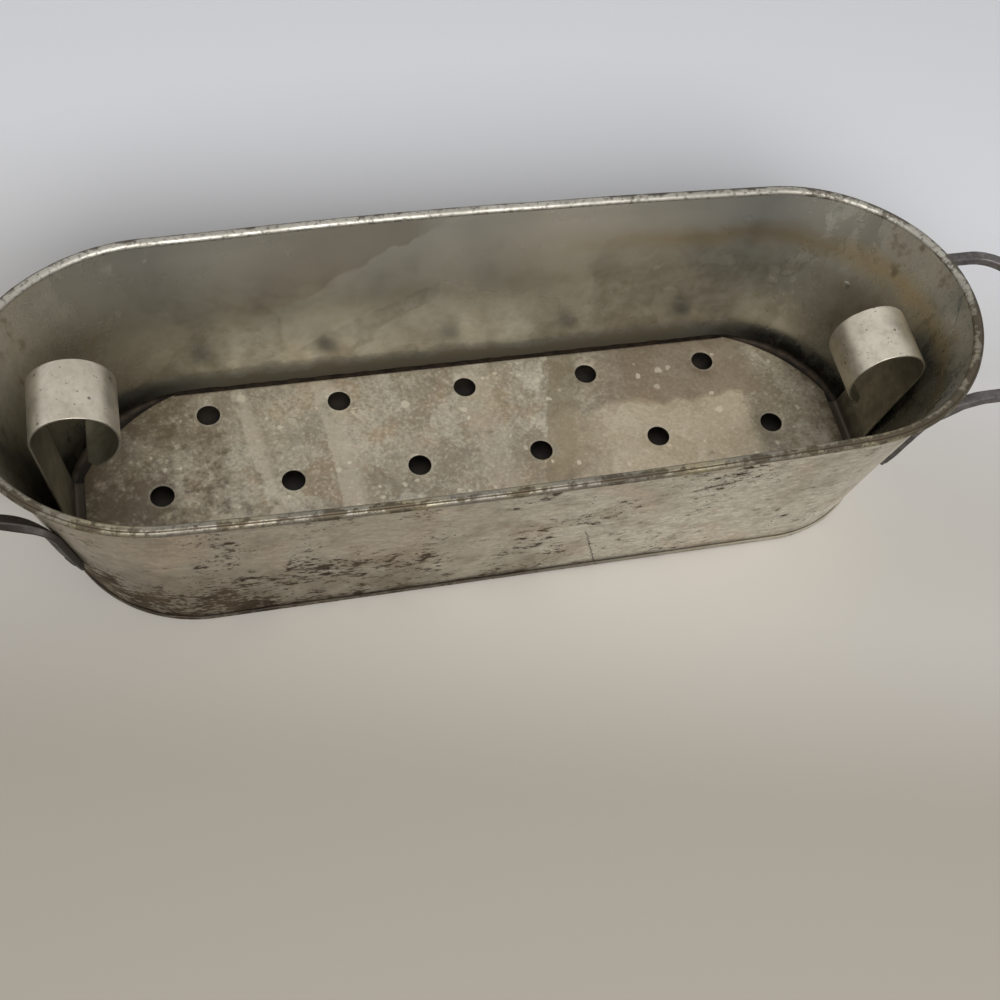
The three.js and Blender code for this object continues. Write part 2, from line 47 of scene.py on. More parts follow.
# Sizes of the pan, in millimetres: its outside at the base and at the rim. END_SHARE is how much of the
# length of half a wall each round end takes
PAN_SHEET = 0.9
GAP = 0.3
PAN_HEIGHT = 118
BASE = {"length": 225.5, "width": 71.5, "reach": 72.5}
RIM = {"length": 254, "width": 83.5, "reach": 91}
RIM_SWELL = 3.2
WIRE = 3
BEAD = WIRE / 2 + GAP + PAN_SHEET
BEAD_Z = PAN_HEIGHT - BEAD
BEAD_OUT = BEAD - PAN_SHEET
CURL_STOP = -115
FOLD_OUT = PAN_SHEET + GAP
BOTTOM_BEND = 1.4
LIP_HEIGHT = 4
WALL_FOOT = BOTTOM_BEND + GAP
SOLDER_LEG = 2.5
RIM_INSET = 2 * BEAD - PAN_SHEET
END_SHARE = 0.235

# The groove that the rolling left along the bead, as an angle round the wire and a depth
GROOVE_TURN = 62
GROOVE_HALF = 9
GROOVE_DEPTH = 0.3

# Lap seams: the rear sheet is thinned and runs on inside the front one
LAP_WIDTH = 10
LAP_STEP = 5
LAP_SHEET = 0.35
LAP_FADE = 6
LAP_BOTTOM = 5
LAP_TOP = PAN_HEIGHT - 8
SEAM_SOLDER_WIDTH = 3
SEAM_SOLDER_RISE = 0.45

# Handles and rivets
BAR_WIDTH = 6
BAR_HEIGHT = 5.6
BAR_CORNER = 1.1
TAB_WIDTH = 11
TAB_THICKNESS = 3.4
TAB_CORNER = 0.7
TAB_TIP_WIDTH = 7.5
TAB_TIP_THICKNESS = 2.2
TAB_ANGLE = 42 * DEGREE
TAB_FOOT = 38
TAB_TOP = 73
ARM_START = 4
BEND_RISE = 9
BEND_RUN = 17
HANDLE_Z = 85
HANDLE_HALF_SPAN = 46
HANDLE_REACH = 61
HANDLE_CORNER = 27
RIVET_FROM_FOOT = 8
RIVET_SPACING = 20

# Rack
RACK_SHEET = 1.0
RACK_HALF_LENGTH = 213
RACK_HALF_WIDTH = 64
RACK_FOOT = PAN_SHEET + GAP
RACK_TOP = RACK_FOOT + 7
RACK_BEND = 1.5
RACK_END_HALF = 17
RACK_SIDE_HALF = 162
RACK_CORNER_RADIUS = 97
RACK_WARP = 0.25
HOLE_RADIUS = 6.35
MIDDLE_PITCH = 69.5
OUTER_PITCH = 72.5
OUTER_ROW = 48

# Grips. The pinholes in their tin are given as the spacing of their cells and their size in a cell
GRIP_SHEET = 1.2
GRIP_WIDTH = 33
GRIP_STAND_OFF = 5.6
GRIP_FOOT = 15
GRIP_BEND = 2.2
CURL_RADIUS = 20.5
CURL_TURN = 180 * DEGREE
TAIL_RADIUS = 26.6
TAIL_TURN = 75 * DEGREE
CURL_CHAMFER = 5
PINHOLES = ((9, 0.06), (4, 0.07))
GRIPS = {
    "left": {"side": -1, "leg": 87, "lean": 3.6 * DEGREE, "offset": -1.5},
    "right": {"side": 1, "leg": 67, "lean": 10.2 * DEGREE, "offset": -6.5},
}


def smooth(t):
    t = min(max(t, 0.0), 1.0)
    return t * t * (3 - 2 * t)


def mix(a, b, t):
    return a + (b - a) * t


def sheet(columns, rows, place):
    """A grid whose every point goes to place(u, v), with u and v from 0 to 1, in millimetres."""
    bm = bmesh.new()
    bmesh.ops.create_grid(bm, x_segments=columns, y_segments=rows, size=1)
    for v in bm.verts:
        v.co = Vector(place((v.co.x + 1) / 2, (v.co.y + 1) / 2))
    bmesh.ops.remove_doubles(bm, verts=bm.verts, dist=SAME_POINT)
    bmesh.ops.dissolve_degenerate(bm, dist=0.001, edges=bm.edges)
    return bm


def close_ends(bm):
    """Fills the open ends of a tube and turns its faces outward."""
    ends = [e for e in bm.edges if e.is_boundary]
    bmesh.ops.holes_fill(bm, edges=ends, sides=0)
    bmesh.ops.recalc_face_normals(bm, faces=bm.faces)


def turn_faces(bm, up, rank):
    """Makes the normals agree, and point up or down at the face whose rank is lowest."""
    bmesh.ops.recalc_face_normals(bm, faces=bm.faces)
    if (min(bm.faces, key=rank).normal.z > 0) != up:
        bmesh.ops.reverse_faces(bm, faces=bm.faces)


def off_centre(face):
    return face.calc_center_median().length


def show(name, data):
    """Puts a new object in the scene."""
    thing = bpy.data.objects.new(name, data)
    bpy.context.scene.collection.objects.link(thing)
    return thing


def make_mesh(bm, name, materials):
    mesh = bpy.data.meshes.new(name)
    bm.to_mesh(mesh)
    bm.free()
    for material in materials:
        mesh.materials.append(material)
    return mesh


def finish_piece(bm, name, body, materials, replaces, sharp, thickness=0.0, inner=0, edge=0, bevel=0.0):
    """Scales to metres, makes the object, and lets it ride on its body in place of its solids.

    A sheet's inner side and its edge take their materials from further down the list.
    """
    bmesh.ops.scale(bm, vec=(MM, MM, MM), verts=bm.verts)
    mesh = make_mesh(bm, name, materials)
    for face in mesh.polygons:
        face.use_smooth = True
    piece = show(name, mesh)
    if thickness:
        solid = piece.modifiers.new("sheet", "SOLIDIFY")
        solid.thickness = thickness * MM
        solid.offset = 0
        solid.use_even_offset = True
        solid.material_offset = inner
        solid.material_offset_rim = edge
    if bevel:
        edges = piece.modifiers.new("edges", "BEVEL")
        edges.width = bevel * MM
        edges.segments = 2
        edges.limit_method = "ANGLE"
        edges.angle_limit = sharp * DEGREE
        edges.use_clamp_overlap = True
    mesh.set_sharp_from_angle(angle=sharp * DEGREE)
    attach(piece, body)
    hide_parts(*replaces)


def linear(code):
    """An sRGB hex colour as linear RGBA."""
    parts = [int(code[i:i + 2], 16) / 255 for i in (0, 2, 4)]
    return [*(c / 12.92 if c <= 0.04045 else ((c + 0.055) / 1.055) ** 2.4 for c in parts), 1.0]


def wire(tree, node, inputs):
    """Gives a node's inputs, by name or from the first on, their values or links.

    A node among them stands for its live output, and a hex code for its colour.
    """
    for key, value in inputs.items() if isinstance(inputs, dict) else enumerate(inputs):
        if isinstance(value, str):
            value = linear(value)
        if isinstance(value, bpy.types.Node):
            value = next(o for o in value.outputs if o.enabled)
        if isinstance(value, bpy.types.NodeSocket):
            tree.links.new(value, node.inputs[key])
        else:
            node.inputs[key].default_value = value


def add(tree, kind, inputs, operation=None, **settings):
    """Adds one shader node, with its settings, its values and its links. Every Mix here mixes colours."""
    made = tree.nodes.new("ShaderNode" + kind)
    if kind == "Mix":
        settings["data_type"] = "RGBA"
    if operation:
        settings["operation"] = operation
    for key, value in settings.items():
        setattr(made, key, value)
    wire(tree, made, inputs)
    return made


def start_material(name):
    """A new material, its nodes, and the place of the point that is shaded, whole and as x, y and z."""
    material = bpy.data.materials.new(name)
    material.use_nodes = True
    tree = material.node_tree
    where = tree.nodes.new("ShaderNodeTexCoord").outputs["Object"]
    return material, tree, where, add(tree, "SeparateXYZ", [where]).outputs


def dress(tree, colour, coats, metallic, roughness, height, strength, depth):
    """Lays coats over a base colour, and connects the finish to the shader.

    A coat is how much of it there is, or several such amounts to be multiplied, and its colour. The depth is
    the bump's real height, in millimetres.
    """
    for amounts, coat in coats:
        amount, *others = amounts if isinstance(amounts, tuple) else [amounts]
        for other in others:
            amount = add(tree, "Math", [amount, other], "MULTIPLY")
        colour = add(tree, "Mix", {0: amount, 6: colour, 7: coat})
    bump = add(tree, "Bump", {"Height": height, "Strength": strength, "Distance": depth * MM})
    finish = {"Base Color": colour, "Metallic": metallic, "Roughness": roughness, "Normal": bump}
    wire(tree, tree.nodes["Principled BSDF"], finish)


def per_mm(size):
    """Noise scale, in cycles per metre, for features of this size in millimetres."""
    return 1000.0 / size


# How metallic clean tin is, under its thin film of oxide
TIN = 0.88


def tinned_outside():
    """Tin on sheet iron, dipped and worn: a grey-beige satin, wiped lengthways, flecked where iron shows."""
    material, t, where, (x, y, z) = start_material("hot-dipped tin over sheet iron, outside")
    cloud = add(t, "TexNoise", {"Vector": where, "Scale": per_mm(70), "Detail": 4, "Roughness": 0.55})
    clouded = add(t, "MapRange", [cloud, 0.38, 0.62])
    base = add(t, "Mix", {0: clouded, 6: "cec9ba", 7: "e3e0d3"})
    # Browner towards the left end
    leftward = add(t, "MapRange", [x, 0.1, -0.22, 0, 0.85])
    warm = add(t, "TexNoise", {"Vector": where, "Scale": per_mm(38), "Detail": 3})
    warmed = add(t, "MapRange", [warm, 0.5, 0.68, 0, 0.6])
    # Faint lengthways wiping, about 12 mm by 2.5 mm
    long_way = add(t, "Mapping", {"Vector": where, "Scale": (1, 1, 5)})
    streak = add(t, "TexNoise", {"Vector": long_way, "Scale": per_mm(12), "Detail": 7, "Roughness": 0.68})
    streaked = add(t, "MapRange", [streak, 0.38, 0.6, 0.42, 0])
    # Grime low down on the left, and a darker line all along the foot, partly grime and partly painted shade
    # where the wall meets the floor
    low_down = add(t, "MapRange", [z, 0.0, 0.075, 1, 0])
    leftmost = add(t, "MapRange", [x, 0.06, -0.2])
    corner = add(t, "Math", [low_down, leftmost], "MULTIPLY")
    grime = add(t, "TexNoise", {"Vector": where, "Scale": per_mm(20), "Detail": 7, "Roughness": 0.65})
    grimy = add(t, "Math", [corner, 0.55, grime], "MULTIPLY_ADD")
    grimy = add(t, "MapRange", [grimy, 0.5, 0.8, 0, 0.85])
    foot_grime_and_shade_level = add(t, "Math", [grime, -0.01, z], "MULTIPLY_ADD")
    foot = add(t, "MapRange", [foot_grime_and_shade_level, 0.0, 0.004, 0.9, 0])
    fading = add(t, "MapRange", [x, 0.0, 0.16, 1, 0.2])
    foot = add(t, "Math", [foot, fading], "MULTIPLY")
    # Flecks where the tin has gone, about 5 mm by 2 mm, in clusters that thicken low down and to the left
    fleck_way = add(t, "Mapping", {"Vector": where, "Scale": (1, 1, 1.9)})
    fleck = add(t, "TexNoise", {"Vector": fleck_way, "Scale": per_mm(8.5), "Detail": 6, "Roughness": 0.64})
    crowd = add(t, "TexNoise", {"Vector": where, "Scale": per_mm(34), "Detail": 3})
    crowded = add(t, "MapRange", [crowd, 0.32, 0.68, -0.11, 0.09])
    more = add(t, "Math", [corner, 0.23, crowded], "MULTIPLY_ADD")
    worn = add(t, "Math", [fleck, more])
    halo = add(t, "MapRange", [worn, 0.53, 0.66, 0, 0.6])
    pit = add(t, "MapRange", [worn, 0.625, 0.68, 0, 0.95])
    # Finer ones among them, about 2 mm, and a fine mottling of the tin
    fine = add(t, "TexNoise", {"Vector": fleck_way, "Scale": per_mm(3.6), "Detail": 5, "Roughness": 0.62})
    mottled = add(t, "MapRange", [fine, 0.42, 0.58, 0.4, 0])
    finer = add(t, "Math", [fine, more])
    speck = add(t, "MapRange", [finer, 0.635, 0.67, 0, 0.85])
    pit = add(t, "Math", [pit, speck], "MAXIMUM")
    pit_tone = add(t, "MapRange", [grime, 0.4, 0.6])
    pit_tone = add(t, "Mix", {0: pit_tone, 6: "30261b", 7: "4c3f2f"})
    # A hair crack in the tin of the front, from 54 mm up down to the foot
    level = add(t, "Math", [z, 0.294, x], "MULTIPLY_ADD")
    jag = add(t, "Math", [streak, 0.006, level], "MULTIPLY_ADD")
    aside = add(t, "Math", [jag, 0.0527], "SUBTRACT")
    aside = add(t, "Math", [aside], "ABSOLUTE")
    narrow = add(t, "MapRange", [aside, 0.0002, 0.0006, 1, 0])
    upto = add(t, "MapRange", [z, 0.046, 0.054, 0.75, 0])
    front = add(t, "Math", [y, 0], "LESS_THAN")
    crack = add(t, "Math", [narrow, upto], "MULTIPLY")
    crack = add(t, "Math", [crack, front], "MULTIPLY")
    # Painted shade in the corner under the rolled rim
    shade_under_rim = add(t, "MapRange", [z, 0.1055, 0.1085, 0, 0.8])
    caught = add(t, "MapRange", [streak, 0.6, 0.42, 0.4, 1])
    shade_under_rim = add(t, "Math", [shade_under_rim, caught], "MULTIPLY")
    gone = add(t, "Math", [pit, crack], "MAXIMUM")
    dull = add(t, "Math", [foot, shade_under_rim], "MAXIMUM")
    dull = add(t, "Math", [gone, dull], "MAXIMUM")
    satin = add(t, "MapRange", [cloud, 0.3, 0.7, 0.36, 0.48])
    rough = add(t, "Math", [halo, 0.35, satin], "MULTIPLY_ADD")
    rough = add(t, "Math", [dull, 0.25, rough], "MULTIPLY_ADD")
    sunk = add(t, "Math", [gone, -1], "MULTIPLY")
    height = add(t, "Math", [streak, 0.4, sunk], "MULTIPLY_ADD")
    coats = [
        (leftward, "a99e8d"), (warmed, "c8b29b"), (streaked, "958c7c"), (grimy, "736a58"), (foot, "3f382c"),
        (halo, "7f7565"), (mottled, "8f8676"), (pit, pit_tone), (crack, "2a2620"), (shade_under_rim, "43382a"),
    ]
    dress(t, base, coats, TIN, rough, height, 0.35, 0.3)
    return material


def tinned_inside():
    """Tin that has boiled water for years: olive grey satin, with tide marks, and rust at the ends."""
    material, t, where, (x, _, z) = start_material("hot-dipped tin over sheet iron, inside")
    far_out = add(t, "Math", [x], "ABSOLUTE")
    cloud = add(t, "TexNoise", {"Vector": where, "Scale": per_mm(85), "Detail": 4, "Roughness": 0.6})
    clouded = add(t, "MapRange", [cloud, 0.35, 0.65])
    base = add(t, "Mix", {0: clouded, 6: "aeada4", 7: "c4c4bc"})
    mottle = add(t, "TexNoise", {"Vector": where, "Scale": per_mm(8), "Detail": 8, "Roughness": 0.7})
    mottled = add(t, "MapRange", [mottle, 0.38, 0.6, 0.55, 0])
    # Sharp-edged water marks, where puddles of about 60 mm dried
    puddle = add(t, "TexNoise", {"Vector": where, "Scale": per_mm(62), "Detail": 3, "Distortion": 0.5})
    dried = add(t, "MapRange", [puddle, 0.5, 0.515, 0, 0.3])
    # A duller belt half way up, fainter on the right, and paler towards the rim, where the water never stood
    off_belt = add(t, "Math", [z, 0.06], "SUBTRACT")
    off_belt = add(t, "Math", [off_belt], "ABSOLUTE")
    belt = add(t, "MapRange", [off_belt, 0, 0.045, 0.42, 0])
    fainter = add(t, "MapRange", [x, 0.03, 0.1, 1, 0.4])
    raised = add(t, "MapRange", [z, 0.065, 0.105, 0, 0.85])
    # Dull olive towards the left, and round the right end
    left = add(t, "MapRange", [x, -0.11, -0.22, 0, 0.55])
    right = add(t, "MapRange", [x, 0.2, 0.235, 0, 0.5])
    dull = add(t, "Math", [left, right], "MAXIMUM")
    # The water line, 87 mm up, brown and ragged, plainest round the right end
    ragged = add(t, "TexNoise", {"Vector": where, "Scale": per_mm(24), "Detail": 6, "Roughness": 0.6})
    level = add(t, "Math", [ragged, 0.022, z], "MULTIPLY_ADD")
    off_line = add(t, "Math", [level, 0.0985], "SUBTRACT")
    off_line = add(t, "Math", [off_line], "ABSOLUTE")
    rightward = add(t, "MapRange", [x, 0.03, 0.13])
    line = add(t, "MapRange", [off_line, 0.001, 0.011, 0.6, 0])
    # A slanting edge of dried scum left of the middle
    slant = add(t, "Math", [x, -0.54, level], "MULTIPLY_ADD")
    scum = add(t, "MapRange", [slant, 0.1275, 0.129, 0, 0.4])
    begun = add(t, "MapRange", [x, -0.15, -0.08])
    ended = add(t, "MapRange", [x, -0.01, -0.03])
    # Darker and darker down to the rack: painted shade, and the painted reflection of the dark gap beside the
    # rack
    low = add(t, "MapRange", [level, 0.026, 0.06, 0.4, 0])
    # Rust has spread at both ends, in patches of about 16 mm
    at_end = add(t, "MapRange", [far_out, 0.15, 0.23, -0.16, 0.08])
    upright = add(t, "Mapping", {"Vector": where, "Scale": (1, 1, 0.6)})
    rusting = add(t, "TexNoise", {"Vector": upright, "Scale": per_mm(16), "Detail": 8, "Roughness": 0.72})
    rusted = add(t, "Math", [rusting, at_end])
    rust = add(t, "MapRange", [rusted, 0.5, 0.66, 0, 0.6])
    burnt = add(t, "MapRange", [rusted, 0.63, 0.71, 0, 0.55])
    # Painted shade round the ends behind the grips, up to about two thirds of the height, and darkest low
    # down by the rack towards the ends
    painted_end_shade = add(t, "MapRange", [level, 0.1, 0.055])
    outer = add(t, "MapRange", [far_out, 0.195, 0.225, 0, 0.75])
    sheltered = add(t, "MapRange", [far_out, 0.13, 0.19])
    painted_corner_shade = add(t, "MapRange", [level, 0.018, 0.025, 0.8, 0])
    # A dull film of lime beside the rack, where the water stands longest
    limed = add(t, "MapRange", [level, 0.022, 0.03, 1, 0])
    washed = add(t, "Math", [1, sheltered], "SUBTRACT")
    limed = add(t, "Math", [limed, washed], "MULTIPLY")
    dulled = add(t, "Math", [rust, limed], "MAXIMUM")
    metallic = add(t, "MapRange", [dulled, 0, 1, TIN, 0.4])
    satin = add(t, "MapRange", [cloud, 0.3, 0.7, 0.21, 0.31])
    rough = add(t, "Math", [dulled, 0.3, satin], "MULTIPLY_ADD")
    coats = [
        (mottled, "8b8873"), (dried, "dfded2"), ((belt, fainter), "85837a"), (raised, "f4f3ee"),
        (dull, "838069"), ((line, rightward), "bba57b"), ((scum, begun, ended), "9a8d79"), (low, "716957"),
        (rust, "7f6e4b"), (burnt, "413828"), ((painted_end_shade, outer), "45443a"), ((painted_corner_shade, sheltered), "3a3429"),
        (limed, "6e6654"),
    ]
    dress(t, base, coats, metallic, rough, mottle, 0.1, 0.3)
    return material


def boiled_bottom():
    """The pan's floor under the rack: tin boiled off, leaving dark scale and rust."""
    material, t, where, (x, y, z) = start_material("scaled iron, worn of its tin")
    scale = add(t, "TexNoise", {"Vector": where, "Scale": per_mm(12), "Detail": 7, "Roughness": 0.65})
    scaled = add(t, "MapRange", [scale, 0.38, 0.64])
    base = add(t, "Mix", {0: scaled, 6: "14110d", 7: "33291e"})
    # Paler along both sides, between the rack and the wall, where a cloth reaches
    aside = add(t, "Math", [y], "ABSOLUTE")
    along = add(t, "Math", [x], "ABSOLUTE")
    shielded = add(t, "MapRange", [aside, 0.0625, 0.065, 0, 0.8])
    short_of = add(t, "MapRange", [along, 0.175, 0.12])
    # The turned-up edge is dark on the left, partly dirt and partly painted shade for the dark line along the
    # foot, and wiped with the wall on the right
    turned_up = add(t, "MapRange", [z, 0.002, 0.003])
    edge_dirt_and_shade = add(t, "Mix", {0: scaled, 6: "241e16", 7: "4a4031"})
    wiped = add(t, "MapRange", [x, 0.0, 0.16, 0, 0.95])
    coats = [((shielded, short_of), "857d6c"), (turned_up, edge_dirt_and_shade), ((wiped, turned_up), "a39b89")]
    dress(t, base, coats, 0.15, add(t, "MapRange", [scale, 0, 1, 0.55, 0.8]), scale, 0.4, 0.5)
    return material


# Bands wiped across the rack with a cloth: where each crosses the middle, its slant, its width and its tone
WIPED_BANDS = [
    (-122, -0.18, 9, 0.45),
    (-81, -0.083, 15, 0.5),
    (0, -0.1, 22, 0.3),
    (38, 0.22, 22, -0.6),
    (160, 0.4, 30, -0.05),
    (206, -0.19, 9, 0.35),
]

# Dried drops on the rack: the spacing of their cells, the share left bare, and a drop's size in its cell
SPATTER = [(15, 0.6, 0.14), (7, 0.74, 0.18)]


def tinned_rack():
    """The rack's tin, boiled warm grey: mottled, wiped in bands, tide-marked, spattered and stained brown."""
    material, t, where, (x, y, _) = start_material("hot-dipped tin over sheet iron, rack")
    cloud = add(t, "TexNoise", {"Vector": where, "Scale": per_mm(58), "Detail": 5, "Roughness": 0.6})
    clouded = add(t, "MapRange", [cloud, 0.36, 0.64])
    base = add(t, "Mix", {0: clouded, 6: "9f9481", 7: "b8af9c"})
    hue = add(t, "TexNoise", {"Vector": where, "Scale": per_mm(34), "Detail": 5, "Roughness": 0.65})
    warm = add(t, "MapRange", [hue, 0.52, 0.62, 0, 0.5])
    cool = add(t, "MapRange", [hue, 0.47, 0.38, 0, 0.5])
    # Tin sets in crystals, which show as patches about 17 mm across
    bent = add(t, "TexNoise", {"Vector": where, "Scale": per_mm(9), "Detail": 4, "Roughness": 0.6})
    bending = add(t, "VectorMath", [bent.outputs["Color"], (0.014, 0.014, 0)], "MULTIPLY")
    shifted = add(t, "VectorMath", [where, bending])
    crystals = add(t, "TexVoronoi", {"Vector": shifted, "Scale": per_mm(17)})
    facing = add(t, "SeparateColor", [crystals.outputs["Color"]])
    paler = add(t, "MapRange", [facing, 0.5, 1, 0, 0.5])
    darker = add(t, "MapRange", [facing, 0.4, 0, 0, 0.35])
    patch = add(t, "TexNoise", {"Vector": where, "Scale": per_mm(5), "Detail": 8, "Roughness": 0.72})
    patched = add(t, "MapRange", [patch, 0.38, 0.58, 0.42, 0])
    grain = add(t, "TexNoise", {"Vector": where, "Scale": per_mm(1.8), "Detail": 3, "Roughness": 0.6})
    dark_grain = add(t, "MapRange", [grain, 0.46, 0.36, 0, 0.45])
    pale_grain = add(t, "MapRange", [grain, 0.55, 0.66, 0, 0.45])
    # Specks of dried lime, thickest in the middle
    inward = add(t, "Math", [x], "ABSOLUTE")
    inward = add(t, "MapRange", [inward, 0.15, 0.06, 0.1, 0.45])
    speckled = add(t, "MapRange", [patch, 0.53, 0.63])
    ragged = add(t, "TexNoise", {"Vector": where, "Scale": per_mm(20), "Detail": 6, "Roughness": 0.6})
    swerve = add(t, "MapRange", [ragged, 0, 1, -0.006, 0.006])
    coats = [
        (warm, "b89f82"), (cool, "989287"), (paler, "d6d1c3"), (darker, "897e6c"), (patched, "857866"),
        (dark_grain, "7d715f"), (pale_grain, "d8cfbd"), ((speckled, inward), "dad2c1"),
    ]
    for crossing, slant, width, tone in WIPED_BANDS:
        across = add(t, "Math", [y, -slant, x], "MULTIPLY_ADD")
        across = add(t, "Math", [across, swerve])
        start, stop = crossing * MM, (crossing + width) * MM
        begun = add(t, "MapRange", [across, start, start + MM, 0, abs(tone)])
        ended = add(t, "MapRange", [across, stop - width * MM / 3, stop + MM, 1, 0])
        coats.append(((begun, ended), "cdc4b3" if tone > 0 else "84785f"))
    # Dull above a tide line on the right, pale below it
    tide = add(t, "Math", [ragged, 0.026, y], "MULTIPLY_ADD")
    on_right = add(t, "MapRange", [x, 0.07, 0.095])
    short_of = add(t, "MapRange", [x, 0.178, 0.168])
    dull = add(t, "MapRange", [tide, 0.0335, 0.0345, 0, 0.6])
    pale = add(t, "MapRange", [tide, 0.037, 0.0335, 0, 0.36])
    from_middle = add(t, "MapRange", [x, 0.03, 0.08])
    to_end = add(t, "MapRange", [x, 0.167, 0.16])
    wobble = add(t, "TexNoise", {"Vector": where, "Scale": per_mm(3.5), "Detail": 2})
    wobble = add(t, "VectorMath", [wobble.outputs["Color"], (0.003, 0.003, 0)], "MULTIPLY")
    uneven = add(t, "VectorMath", [where, wobble])
    coats += [((dull, on_right, short_of), "8b7a66"), ((pale, from_middle, to_end), "d8c8ad")]
    for spacing, bare, size in SPATTER:
        drops = add(t, "TexVoronoi", {"Vector": uneven, "Scale": per_mm(spacing)})
        chosen = add(t, "SeparateColor", [drops.outputs["Color"]])
        few = add(t, "MapRange", [chosen, bare, bare + 0.04, 0, 0.75])
        drop = add(t, "MapRange", [drops.outputs["Distance"], size, size + 0.05, 1, 0])
        coats.append(((drop, few), "d9d0bd"))
    # Brown stain towards the ends, mostly the left
    leftward = add(t, "MapRange", [x, -0.1, -0.19, -0.1, 0.1])
    rightmost = add(t, "MapRange", [x, 0.19, 0.215, -0.1, 0.1])
    ends = add(t, "Math", [leftward, rightmost], "MAXIMUM")
    stained = add(t, "Math", [patch, ragged])
    stained = add(t, "Math", [stained, 0.5, ends], "MULTIPLY_ADD")
    stain = add(t, "MapRange", [stained, 0.46, 0.62, 0, 0.8])
    # Painted highlight: each hole is faintly ringed with paler tin, standing in for light caught by its
    # punched edge
    middle = add(t, "Math", [x, MIDDLE_PITCH / 2 * MM], "PINGPONG")
    middle = add(t, "Math", [middle, -1, MIDDLE_PITCH / 2 * MM], "MULTIPLY_ADD")
    outer = add(t, "Math", [x, OUTER_PITCH / 2 * MM], "PINGPONG")
    aside = add(t, "Math", [y], "ABSOLUTE")
    aside = add(t, "Math", [aside, OUTER_ROW * MM], "SUBTRACT")
    near_middle = add(t, "VectorMath", [add(t, "CombineXYZ", [middle, y])], "LENGTH")
    near_outer = add(t, "VectorMath", [add(t, "CombineXYZ", [outer, aside])], "LENGTH")
    near = add(t, "Math", [near_middle, near_outer], "MINIMUM")
    ring = add(t, "MapRange", [near, (HOLE_RADIUS + 0.5) * MM, (HOLE_RADIUS + 1.8) * MM, 1, 0])
    rubbed = add(t, "MapRange", [patch, 0.42, 0.58, 0, 0.35])
    metallic = add(t, "MapRange", [stain, 0, 1, 0.72, 0.4])
    rough = add(t, "MapRange", [patch, 0.3, 0.7, 0.46, 0.62])
    coats += [(stain, "63543f"), ((ring, rubbed), "cfc9ba")]
    dress(t, base, coats, metallic, rough, patch, 0.12, 0.4)
    return material


def tinned_grip():
    """Tin on the grips, rubbed by hands and cloths: a light satin grey with pinholes, rusty at the foot."""
    material, t, where, (_, _, z) = start_material("hot-dipped tin over sheet iron, grips")
    cloud = add(t, "TexNoise", {"Vector": where, "Scale": per_mm(24), "Detail": 5, "Roughness": 0.6})
    clouded = add(t, "MapRange", [cloud, 0.35, 0.65])
    base = add(t, "Mix", {0: clouded, 6: "aaa293", 7: "c6bfb0"})
    grain = add(t, "TexNoise", {"Vector": where, "Scale": per_mm(4), "Detail": 5, "Roughness": 0.68})
    grained = add(t, "MapRange", [grain, 0.35, 0.52, 0.32, 0])
    coats = [(grained, "857f70")]
    for spacing, size in PINHOLES:
        holes = add(t, "TexVoronoi", {"Vector": where, "Scale": per_mm(spacing)})
        pinhole = add(t, "MapRange", [holes.outputs["Distance"], size, size + 0.05, 0.75, 0])
        coats.append((pinhole, "3d372e"))
    height = add(t, "Math", [grain, 0.015, z], "MULTIPLY_ADD")
    rust = add(t, "MapRange", [height, 0.022, 0.034, 0.95, 0])
    metallic = add(t, "MapRange", [rust, 0, 1, TIN, 0.3])
    rough = add(t, "MapRange", [cloud, 0.3, 0.7, 0.32, 0.44])
    rough = add(t, "Math", [rust, 0.4, rough], "MULTIPLY_ADD")
    coats.append((rust, "3a2a1a"))
    dress(t, base, coats, metallic, rough, grain, 0.12, 0.3)
    return material


def tinned_curl_shaded():
    """Tin that no hand rubs, in the hollow of the grips and under the rack: olive brown, darkened as painted
    shade, rusty low down.
    """
    material, t, where, (_, _, z) = start_material("hot-dipped tin over sheet iron, unrubbed and painted shade")
    mottle = add(t, "TexNoise", {"Vector": where, "Scale": per_mm(10), "Detail": 6, "Roughness": 0.65})
    mottled = add(t, "MapRange", [mottle, 0.36, 0.62])
    base = add(t, "Mix", {0: mottled, 6: "696352", 7: "857f6c"})
    # Painted shade: darker higher up, in the roof of the curls
    high = add(t, "MapRange", [z, 0.045, 0.09, 0, 0.65])
    height = add(t, "Math", [mottle, 0.02, z], "MULTIPLY_ADD")
    rust = add(t, "MapRange", [height, 0.02, 0.034, 0.8, 0])
    coats = [(high, "3f3b30"), (rust, "33251a")]
    dress(t, base, coats, add(t, "MapRange", [rust, 0, 1, 0.8, 0.3]), 0.5, mottle, 0.15, 0.3)
    return material


